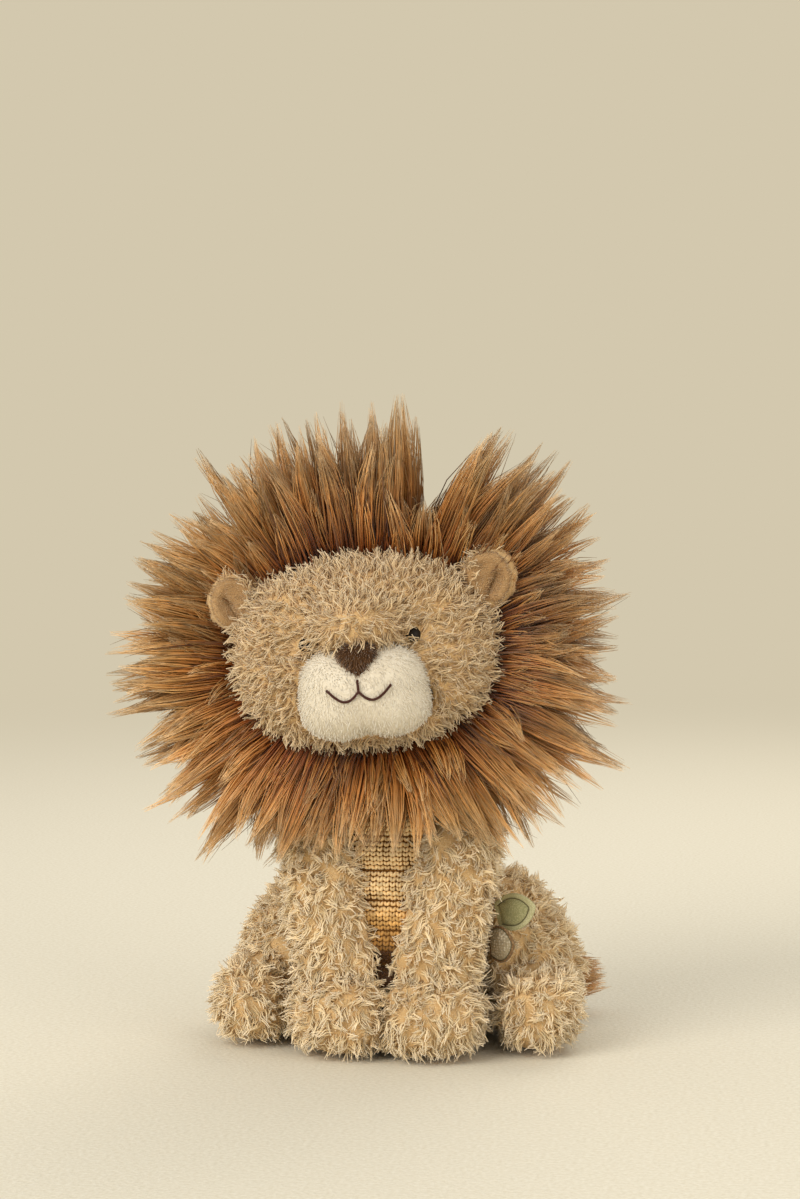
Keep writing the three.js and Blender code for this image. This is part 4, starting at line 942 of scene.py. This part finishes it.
# %% The tree of the fur strands
fur, given = growth("fur_locks", ["Thread", "Wave", "Gather", "Shortest"], "Strands", "Segments", "Seed")
start = add("GeometryNodeMeshToPoints", {"Mesh": given["Geometry"]})
start = store(start, "root", position())
start = add("GeometryNodeDuplicateElements", {"Geometry": start, "Amount": given["Strands"]}, domain="POINT")
sideways = {0: (-1, -1, -1), 1: (1, 1, 1), "Seed": given["Seed"]}
fray = add("FunctionNodeRandomValue", sideways, data_type="FLOAT_VECTOR")
flying = chance(0.0, 1.0, 15) > 0.965  # a few strands leave their lock
start = store(start, "fray", fray * (flying * 1.6 + 1.0))
start = store(start, "reach", chance(given["Shortest"], 1.03, 12))
start = store(start, "phase", chance(0.0, math.tau, 13))
# A lock is one shade, a strand varies a little, and the strands outside lie in the shadow between the locks.
shadow = (0.75 - reckoned("LENGTH", arrow("fray"))["Value"]) * 0.5
start = store(start, "tint", named("tint") * 0.6 + shadow + chance(0.05, 0.35, 14))
stem = add("GeometryNodeCurvePrimitiveLine", {"End": (0, 0, 0.01)})
stem = add("GeometryNodeResampleCurve", {"Curve": stem, "Count": given["Segments"] + 1.0}, mode="COUNT")
stems = store(real(on_points(start, stem)), "along", add("GeometryNodeSplineParameter"))
t = named("along") * named("reach")


def between(a, b):
    return add("ShaderNodeMix", {0: t, 4: a, 5: b}, data_type="VECTOR")[1]


root, middle, tip = (arrow(word) for word in ("root", "middle", "tip"))
bowed = between(between(root, middle), between(middle, tip))
narrow = 1.0 - t**1.7 * given["Gather"]
bundle = (t * 0.8 + 1.0) * narrow * named("spread")
ripple = reckoned("SINE", named("phase") + t * 7.0) * t * given["Wave"]
placed = bowed + arrow("fray") * bundle + reckoned("NORMALIZE", arrow("fray")) * ripple
stems = add("GeometryNodeSetPosition", {"Geometry": stems, "Position": placed})
ending(tube(stems, (1.0 - named("along") ** 1.6 * 0.85) * given["Thread"]), given["Finish"])


def guides(name, locks):
    """Points for the fur tree: each lock is (root, middle, tip, spread, tint), in metres."""
    roots, middles, tips, spreads, tints = zip(*locks)
    return mark(points_and_lines(name, roots), middle=middles, tip=tips, spread=spreads, tint=tints)


# %% [markdown]
# ### Guides of the mane
# The measures below are the CAD's own. The rows go from the rim of the face to the middle of the back, and each
# row has its reach towards the mane's outline and the depth of its tips. The parting is a V: its locks are
# shorter and lean away from it. Locks under the head are pushed out of the neck's well, where the body is.

# %% Guides
rng = np.random.default_rng(2024)
fan_half, fan_above, fan_power, fan_depth = (98, 86), 6, 2.6, 74
parting, ear_turns = 65, (26.6, 153.4)  # degrees round the fan, from the right
# polar angle of a row from straight ahead, its reach and the depth of its tips, as shares of the fan
row_table = [(76, 0.84, -0.26), (82, 0.9, -0.2), (97, 1, 0.04), (115, 0.96, 0.34)]
row_table = np.array([*row_table, (134, 0.78, 0.66), (152, 0.52, 0.9), (169, 0.2, 1), (178, 0.05, 1)])
# polar angle of a row from straight ahead, number of its locks, and their length as a share
rows = [(77, 50, 1), (79, 44, 0.78), (80, 50, 1), (84, 48, 1), (87, 44, 0.85), (89, 46, 1), (95, 44, 1), (102, 42, 1)]
rows += [(110, 44, 1), (119, 42, 1), (128, 44, 1), (137, 40, 1), (147, 34, 1), (157, 26, 1), (167, 16, 1), (175, 7, 1)]
spike_count = 52  # the mane's outline has so many spikes: direction and length of each
spikes = [(i * 360 / spike_count + rng.uniform(-2.4, 2.4), rng.uniform(0.93, 1.04)) for i in range(spike_count)]
# the mane's reach by direction, against the plain fan
outline = np.array(
    [
        *((0, 1), (24, 1.05), (44, 1.01), (60, 1.05), (72, 1.13), (84, 1.08), (105, 1.09), (120, 0.97), (130, 0.89)),
        *((144, 0.95), (156, 0.98), (168, 1.08), (180, 1.11), (192, 1.06), (204, 1), (216, 0.99), (228, 1.07)),
        *((240, 1.06), (252, 0.99), (262, 0.95), (280, 0.95), (296, 1), (312, 1.05), (324, 1.08), (336, 1.03)),
        (360, 1),
    ]
)
panels = {
    "mane_crown_right": (18, parting),
    "mane_crown_left": (parting, 150),
    "mane_cheek_left": (150, 216),
    "mane_bib": (216, 324),
    "mane_cheek_right": (324, 378),
}
back_panel_from, outline_to, fringe_to, ears_to = 126, 105, 92, 93  # polar angles of the rows
well_radius, well_top, collar_radius, collar_top = 54, -6, 28, 3


def in_fan(angle, polar, share, shorter=1.0):
    """A place in the mane, in the head's frame: on the head at share 0 and on the outline at 1."""
    reach, depth = (np.interp(polar, row_table[:, 0], row_table[:, i]) for i in (1, 2))
    a, p = math.radians(angle), math.radians(polar)
    across, rise = math.cos(a), math.sin(a)
    root = Vector((across * math.sin(p) * head_half.x, -math.cos(p) * head_half.y, rise * math.sin(p) * head_half.z))
    full = (abs(across) ** fan_power + abs(rise) ** fan_power) ** (-1 / fan_power) * reach * shorter
    tip = Vector((across * full * fan_half[0], depth * fan_depth, rise * full * fan_half[1] + fan_above))
    return root.lerp(tip, share) + head_middle


def out_of_well(place, margin):
    """Pushes a place out of the neck's well, which belongs to the body."""
    fall = limited((collar_top - place.z) / (collar_top - well_top))
    least = collar_radius + (well_radius - collar_radius) * fall + margin if fall > 0 else 0
    radius = math.hypot(place.x, place.y)
    if radius < least:
        place.x *= least / max(radius, 1e-6)
        place.y *= least / max(radius, 1e-6)
    return place


def turn_between(a, b):
    return (a - b + 180) % 360 - 180


def panel_of(turn, polar):
    """The fur panel that a lock is sewn into."""
    if polar > back_panel_from:
        return "mane_back"
    return next(name for name, (low, high) in panels.items() if low <= turn < high or low <= turn + 360 < high)


locks = {name: [] for name in (*panels, "mane_back")}
for number, (polar, count, share_long) in enumerate(rows):
    for i in range(count):
        plain = (i + (number % 2) / 2) * 360 / count
        angle = plain + rng.uniform(-2.2, 2.2)
        rise, across = math.sin(math.radians(angle)), math.cos(math.radians(angle))
        spike, spike_long = min(spikes, key=lambda each: abs(turn_between(angle, each[0])))
        # Neighbouring locks of full length gather into one spike.
        pulled = turn_between(spike, angle) if share_long == 1 else 0
        away = turn_between(angle, parting)
        lean = (6.5 if away > 0 else -2.0) * bell(away, 10)
        notch = 1 - 0.34 * bell(away, 5.5)
        fringe = limited((-rise - 0.25) / 0.35) * (polar < fringe_to)
        long = notch * (1 + 0.07 * fringe) * share_long * spike_long * rng.uniform(0.93, 1.04)
        if polar < outline_to:
            long *= np.interp(angle % 360, outline[:, 0], outline[:, 1])
        root = in_fan(angle + lean * 0.4, polar, 0.02)
        half = in_fan(angle + lean * 0.8 + pulled * 0.2, polar, 0.5, long)
        tip = in_fan(angle + lean + pulled * 0.5, polar, 1, long)
        swirl = rng.uniform(-6, 6)  # this and what follows is in millimetres
        half += Vector((-rise * swirl, -rng.uniform(2, 8), across * swirl))
        tip += Vector(rng.uniform(-2.5, 2.5, 3).tolist()) + Vector((-rise, 0, across)) * rng.uniform(-3, 3)
        tip.z -= 4 * abs(across)
        for ear in ear_turns if polar < ears_to else ():  # the mane passes behind the ears
            near = bell(turn_between(angle, ear), 15)
            root.y += 9 * near
            half.y += 12 * near
        half, tip = out_of_well(half, 3), out_of_well(tip, 2)
        spread = 3.5 * (0.75 + 0.25 * math.sin(math.radians(polar))) * rng.uniform(0.8, 1.15)
        spread *= 1.35 if polar > 105 else 1
        # Locks of the fringe get a lighter tint: painted light on the fur that hangs in the head's shade.
        guide = (head_frame @ root, head_frame @ half, head_frame @ tip, spread * mm, rng.uniform(0, 1) + 0.3 * fringe)
        locks[panel_of(plain % 360, polar)].append(guide)
print("locks:", {name: len(group) for name, group in locks.items()})

# %% Mane


def biggest_shell(mesh):
    """Keeps a mesh's largest closed shell and drops those inside it."""
    shape = bmesh.new()
    shape.from_mesh(mesh)
    left, shells = set(shape.verts), []
    while left:
        shell, open_ends = set(), [left.pop()]
        while open_ends:
            vert = open_ends.pop()
            shell.add(vert)
            for edge in vert.link_edges:
                other = edge.other_vert(vert)
                if other in left:
                    left.discard(other)
                    open_ends.append(other)
        shells.append(shell)
    main = max(shells, key=len)
    bmesh.ops.delete(shape, geom=[v for v in shape.verts if v not in main], context="VERTS")
    shape.to_mesh(mesh)
    shape.free()


def pulled_in(piece):
    """Draws a pad's spikes back into the fur: past its share of the fan's outline, a place moves to the middle."""
    for vertex in piece.data.vertices:
        at = in_head(vertex.co)
        turn = math.degrees(math.atan2(at.z - fan_above, at.x))
        in_parting = bell(turn_between(turn, parting), 16)
        in_fringe = limited((-math.sin(math.radians(turn)) - 0.2) / 0.4)
        least = 0.54 - 0.2 * in_parting - 0.1 * in_fringe
        if at.y < -8:
            at.y = -8 + 0.2 * (at.y + 8)
        sides = (abs(at.x) / fan_half[0], abs(at.z - fan_above) / fan_half[1], max(0, at.y) / fan_depth)
        share = sum(side**fan_power for side in sides) ** (1 / fan_power)
        if share > least:
            kept = least + 0.1 * (1 - math.exp(-(share - least) / 0.1))
            at *= kept / share
        vertex.co = head_frame @ (head_middle + at)
    biggest_shell(piece.data)


for node in mane_nodes:
    pad = skin(node + "_backing", node, 2.6, 10, 1.5, mane_backing)
    pulled_in(pad)
    tapering = {"Strands": 32, "Gather": 0.75} if node == "mane_back" else {"Strands": 46, "Gather": 0.92}
    sizes = {**tapering, "Segments": 4, "Thread": 0.35 * mm, "Wave": 0.8 * mm, "Shortest": 0.64, "Seed": len(node)}
    strands = grown(fur, node + "_fur", guides(node + "_guides", locks[node]), "head", **sizes, Finish=mane_pile)
    stands_for(pad, node, None, strands)
    print(node, "backing", len(pad.data.polygons), "faces, fur", len(strands.data.polygons), "faces")

# %% [markdown]
# ### Tail tuft
# The tail ends in a small tuft of the mane's fur, grown by the same tree round guides that leave the tail's end.

# %% Tail tuft
tuft_low, tuft_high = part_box("tail_tuft")
tail_points = [v.co for v in cad["tail"].data.vertices]
tuft_middle = (tuft_low + tuft_high) / 2
tail_end = min(tail_points, key=lambda p: (p - tuft_middle).length)
around_end = [p for p in tail_points if (p - tail_end).length < 12 * mm]
tail_end = sum(around_end, Vector()) / len(around_end)
tuft_axis = (tuft_middle - tail_end).normalized()
tuft_side = tuft_axis.cross(Vector((0, 0, 1))).normalized()
tuft_up = tuft_side.cross(tuft_axis)
tuft_locks = []
for i in range(20):
    a = math.tau * i / 20 + rng.uniform(-0.2, 0.2)
    out = tuft_side * math.cos(a) + tuft_up * math.sin(a)
    wide = 0.35 if i % 2 else 1.0
    root = tail_end + (out * 3.2 * wide - tuft_axis * 1.5) * mm
    half = root + tuft_axis * 15 * mm + out * 5 * wide * mm
    tip = root + tuft_axis * rng.uniform(25, 32) * mm + out * 3 * wide * mm
    half.z, tip.z = max(half.z, 3.5 * mm), max(tip.z, 3 * mm)
    tuft_locks.append((root, half, tip, 1.9 * mm, rng.uniform(0.7, 1.5)))
pad = skin("tail_tuft_backing", "tail_tuft", 1.2, 6, 1.0, mane_backing)
for vertex in pad.data.vertices:
    way = (vertex.co - tail_end).dot(tuft_axis)
    if way > 4 * mm:
        vertex.co -= tuft_axis * (way - 4 * mm) * 0.85
sizes = {"Strands": 50, "Segments": 4, "Thread": 0.3 * mm, "Wave": 0.6 * mm, "Gather": 0.85, "Shortest": 0.6}
tuft_guides = guides("tail_tuft_guides", tuft_locks)
strands = grown(fur, "tail_tuft_fur", tuft_guides, "tail", **sizes, Seed=5, Finish=mane_pile)
stands_for(pad, "tail_tuft", None, strands)
print("tail tuft:", len(strands.data.polygons), "faces")

# %% [markdown]
# ## Knitted chest panel
# The chest is a panel of gold stocking-stitch knit, stuffed in tiers. Each stitch shows as a V of two plump legs,
# about 2.5 mm wide and 1.9 mm high, and no two are quite alike. The V is made once, and Geometry Nodes set one on
# every stitch place, turned to the cloth. The yarn is painted with shade on its inner side and a highlight on its
# outer face, and deep between the toy's front legs it is painted darker, as the shade there.

# %% The tree of the knit
knit, given = growth("knitted_stitches", ["Wide", "High", "Yarn"])
stitch_points = add("GeometryNodeMeshToPoints", {"Mesh": given["Geometry"]})
stitch_points = store(stitch_points, "tint", chance(0.0, 1.0, 9))
stitch = add("GeometryNodeJoinGeometry")
for side in (-1, 1):
    bead = add("GeometryNodeMeshUVSphere", {"Segments": 8, "Rings": 5, "Radius": 0.5})
    # along runs from the stitch's inner side to its outer face, where the yarn's colours put painted shade and
    # highlight.
    bead = store(bead, "along", axis_of(position(), "X") + 0.5)
    size = add("ShaderNodeCombineXYZ", {0: given["Yarn"], 1: given["Yarn"], 2: given["High"] * 1.2})
    place = add("ShaderNodeCombineXYZ", {1: given["Wide"] * (side * 0.24)})
    lie = {"Translation": place, "Rotation": (side * math.radians(-24), 0, 0), "Scale": size}
    feed(stitch, {0: add("GeometryNodeTransform", {"Geometry": bead, **lie})})
facing_out = turned_to(arrow("outward"), (0, 0, 1))
knitted = real(on_points(stitch_points, stitch, Rotation=facing_out, Scale=chance(0.82, 1.15, 21)))
# Painted shade: the lower a stitch, the more its colour is pulled to the yarn's dark end.
ending(store(knitted, "along", named("along") * named("lit")), given["Finish"])

# %% Chest panel
panel = cad["chest_panel"].data
panel_tree = BVHTree.FromPolygons([v.co for v in panel.vertices], [p.vertices for p in panel.polygons])
low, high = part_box("chest_panel")
stitch_wide, stitch_high = 2.5, 1.9
places, outwards, lit = [], [], []
for row in range(1, int((high.z - low.z) / (stitch_high * mm))):
    z = low.z + row * stitch_high * mm
    for column in range(-7, 8):
        start = Vector((column * stitch_wide * mm, low.y - 0.01, z))
        place, out, _, _ = panel_tree.ray_cast(start, Vector((0, 1, 0)))
        if place is None or place.y > high.y - 6 * mm or out.y > -0.2:
            continue
        places.append(place - out * 0.4 * mm)
        outwards.append(out)
        lit.append(float(np.interp(z / mm, [40, 62], [0, 1])))  # the lowest tiers lie in shadow between the legs
stitches = mark(points_and_lines("chest_stitches", places), outward=outwards, lit=lit)
measures = {"Wide": stitch_wide * mm, "High": stitch_high * mm, "Yarn": 1.4 * mm}
chest_knit = grown(knit, "chest_panel_knit", stitches, "torso", **measures, Finish=knit_yarn)
chest = skin("chest_panel_cover", "chest_panel", 1.2, 3, 0.5, knit_backing)
stands_for(chest, "chest_panel", 0.8, chest_knit)
print("knit:", len(places), "stitches,", len(chest_knit.data.polygons), "faces")

# %% [markdown]
# ## Leaf tabs
# Two little padded leaves are caught in the side seam: the upper of sage brushed cotton, the lower of grey-beige
# boucle. Each is two layers sewn together about 2 mm inside the edge: plump inside the seam, flat in its paler or
# browner rim, with the sewing thread sunk between them.

# %% Leaves
leaf_wide, seam_inside = 7.1, 1.9  # half the full width, and how far inside the edge the seam runs, in millimetres


def leaf_half(at, long):
    """Half the width of a leaf at a distance from its root: broad at two thirds, and bluntly pointed."""
    widest = long * 0.6
    if at < widest:
        s = at / widest
        return 2.6 + 4.5 * s * s * (3 - 2 * s)
    s = (at - widest) / (long - widest)
    return leaf_wide * max(0, 1 - s**2) ** 0.75


def leaf_thickness(inside):
    """Half the thickness of a leaf at a distance inside its edge: a flat rim, the sunk seam, the plump middle."""
    return float(np.interp(inside, [0, 0.3, 1.5, 1.9, 2.4, 4, 7], [0.2, 0.5, 0.55, 0.2, 0.9, 1.7, 2.0]))


# height of the root in mm, slant and rise in degrees, share of the full size and of the full rim, cloths
leaf_places = {
    "leaf_tab_upper": (50, 29, 17, 1, 1, sage_cloth, sage_rim),
    "leaf_tab_lower": (41, 45, 7, 0.8, 0.5, beige_cloth, beige_rim),
}
for node, (up, slant, rise, share, rim, finish, rim_finish) in leaf_places.items():
    long, start = 28 * share, 9 * share
    in_seam = (
        Matrix.Scale(mm, 4)
        @ Matrix.Translation(Vector((32.6, -10.4, up)))
        @ Matrix.Rotation(math.radians(-slant), 4, "Z")
        @ Matrix.Rotation(math.radians(-rise), 4, "Y")
    )
    side = [(at, leaf_half(at, long)) for at in start + (long - start) * np.sin(np.linspace(0, math.pi / 2, 41))]
    edge = side[:-1] + [(long, 0)] + [(at, -half) for at, half in side[-2::-1]]

    def leaf_ring(inside, y):
        """The leaf's outline drawn in by a distance, on the front (y = -1) or the back (y = 1)."""
        drawn_in = np.interp(inside, [0, seam_inside, leaf_wide], [0, seam_inside * rim, leaf_wide])
        size, middle, thick = 1 - drawn_in / leaf_wide, long * 0.6, leaf_thickness(inside)
        return [in_seam @ Vector((middle + (at - middle) * size, y * thick, off * size)) for at, off in edge]

    insides = [leaf_wide, *np.linspace(6.6, 2.7, 10), 2.4, 2.1, seam_inside, 1.7, 1.4, 1.0, 0.6, 0.3, 0]
    rings = [leaf_ring(inside, -1) for inside in insides] + [leaf_ring(inside, 1) for inside in reversed(insides)]
    rings[0], rings[-1] = rings[0][:1], rings[-1][:1]
    leaf = loft(node + "_cloth", rings, finish)
    leaf.data.materials.append(rim_finish)
    for face in leaf.data.polygons:
        row = face.index // len(edge)
        face.material_index = int(min(row, len(rings) - 2 - row) >= insides.index(seam_inside))
    # The sewing thread runs in the sunk seam, on both sides of the leaf.
    strokes = []
    for y in (-1, 1):
        lift = in_seam.to_3x3() @ Vector((0, y * 0.25, 0))
        strokes.append([(place + lift, lift.normalized()) for place in leaf_ring(seam_inside, y)])
    sizes = {"Pitch": 0.8 * mm, "Width": 0.35 * mm, "Thick": 0.35 * mm}
    seam = sewn(node + "_seam", strokes, "torso", **sizes, Finish=seam_thread)
    stands_for(leaf, node, 0.4)
    print(node, len(leaf.data.polygons), "faces, seam", len(seam.data.polygons), "faces")

# %% [markdown]
# ## Inside
# The fibrefill and the pellet pouch can't be seen, but the toy is stuffed with them, so they get their own soft
# shapes, a little smaller than the room in their covers.

# %% Stuffing and pellets
for node in [name for name in cad if "fill_" in name or "stuffing" in name] + ["bean_bag"]:
    finish = pellet_cloth if node == "bean_bag" else fibrefill
    drawn_in = 6.0 if node == "torso_stuffing" else 0.5
    stands_for(skin(node + "_soft", node, 2.4, 5, drawn_in, finish), node, 0.6)

# %% [markdown]
# ## Floor, light and camera
# The photograph was taken in soft daylight from in front, with the camera nearly as high as the toy. A pale floor
# and a pale world give the background. Three large soft lamps give the toy its form without hard shadows.

# %% Floor and background
haze_colour = colour("#d3c8ae")
bpy.ops.mesh.primitive_plane_add(size=12)
floor = bpy.context.object
floor.name = "floor"
carpet, shader = cloth("pale_wool_floor", 0.95, 0.1, 0.2)
fuzz = mottle(1.6 * mm, 3)
bump = add("ShaderNodeBump", {"Height": fuzz, "Strength": 0.3, "Distance": 1 * mm})
feed(shader, {"Base Color": ramp(fuzz, [(0.3, "#dbd3bd"), (0.7, "#e8e2d0")]), "Normal": bump})


def seen_directly():
    """1 for the rays that the camera sends out and their reflections, 0 for the light's."""
    rays = add("ShaderNodeLightPath")
    return reckoned("MAXIMUM", rays["Is Camera Ray"], rays["Is Glossy Ray"])


# Far from the toy the floor takes the background's colour for the camera, so that no horizon shows.
reach = reckoned("LENGTH", on_piece())["Value"]
limits = {"Value": reach, "From Min": 0.35, "From Max": 1.5}
far = add("ShaderNodeMapRange", limits, interpolation_type="SMOOTHSTEP")
haze = add("ShaderNodeEmission", {"Color": haze_colour, "Strength": 1.0})
mixed = add("ShaderNodeMixShader", {0: far * seen_directly(), 1: shader, 2: haze})
trees[-1].links.new(mixed.socket, carpet.node_tree.nodes["Material Output"].inputs["Surface"])
floor.data.materials.append(carpet)
floor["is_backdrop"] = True

world = bpy.data.worlds.new("soft daylight")
scene.world = world
world.use_nodes = True
trees.append(world.node_tree)
world.node_tree.nodes.clear()
lit = add("ShaderNodeBackground", {"Color": colour("#fffdf8"), "Strength": 0.6})
seen = add("ShaderNodeBackground", {"Color": haze_colour, "Strength": 1.0})
add("ShaderNodeOutputWorld", {"Surface": add("ShaderNodeMixShader", {0: seen_directly(), 1: lit, 2: seen})})


def lamp(name, place, aim_height, size, power, hex_code):
    """A large square soft lamp that points at a height over the toy's middle."""
    light = bpy.data.lights.new(name, "AREA")
    light.size, light.energy, light.color = size, power, colour(hex_code)[:3]
    holder = bpy.data.objects.new(name, light)
    holder.location = place
    aim = Vector((0, 0, aim_height)) - Vector(place)
    holder.rotation_euler = aim.to_track_quat("-Z", "Y").to_euler()
    scene.collection.objects.link(holder)


lamp("window", (-0.9, -1.4, 0.95), 0.12, 1.1, 23, "#fffaf2")
lamp("fill", (1.2, -1.1, 0.45), 0.12, 1.2, 8, "#fffaf2")
lamp("rim", (0.3, 1.2, 1.0), 0.15, 1.0, 8, "#fff8ec")

# %% Camera
azimuth, pitch, distance = math.radians(9.5), math.radians(-3.3), 1.098
camera = bpy.data.objects.new("camera", bpy.data.cameras.new("camera"))
scene.collection.objects.link(camera)
camera.location = (math.sin(azimuth) * distance, -math.cos(azimuth) * distance, 0.2362)
looking = Vector((-math.sin(azimuth) * math.cos(pitch), math.cos(azimuth) * math.cos(pitch), math.sin(pitch)))
camera.rotation_euler = looking.to_track_quat("-Z", "Y").to_euler()
camera.data.lens, camera.data.sensor_fit, camera.data.sensor_height = 85, "VERTICAL", 36
scene.camera = camera
scene.view_settings.view_transform = "Standard"

# %% Size of the dressed toy
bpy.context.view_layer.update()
triangles = {}
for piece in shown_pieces():
    piece.data.calc_loop_triangles()
    triangles[piece.name] = len(piece.data.loop_triangles)
print("triangles:", sum(triangles.values()), "most:", sorted(triangles.items(), key=lambda item: -item[1])[:8])
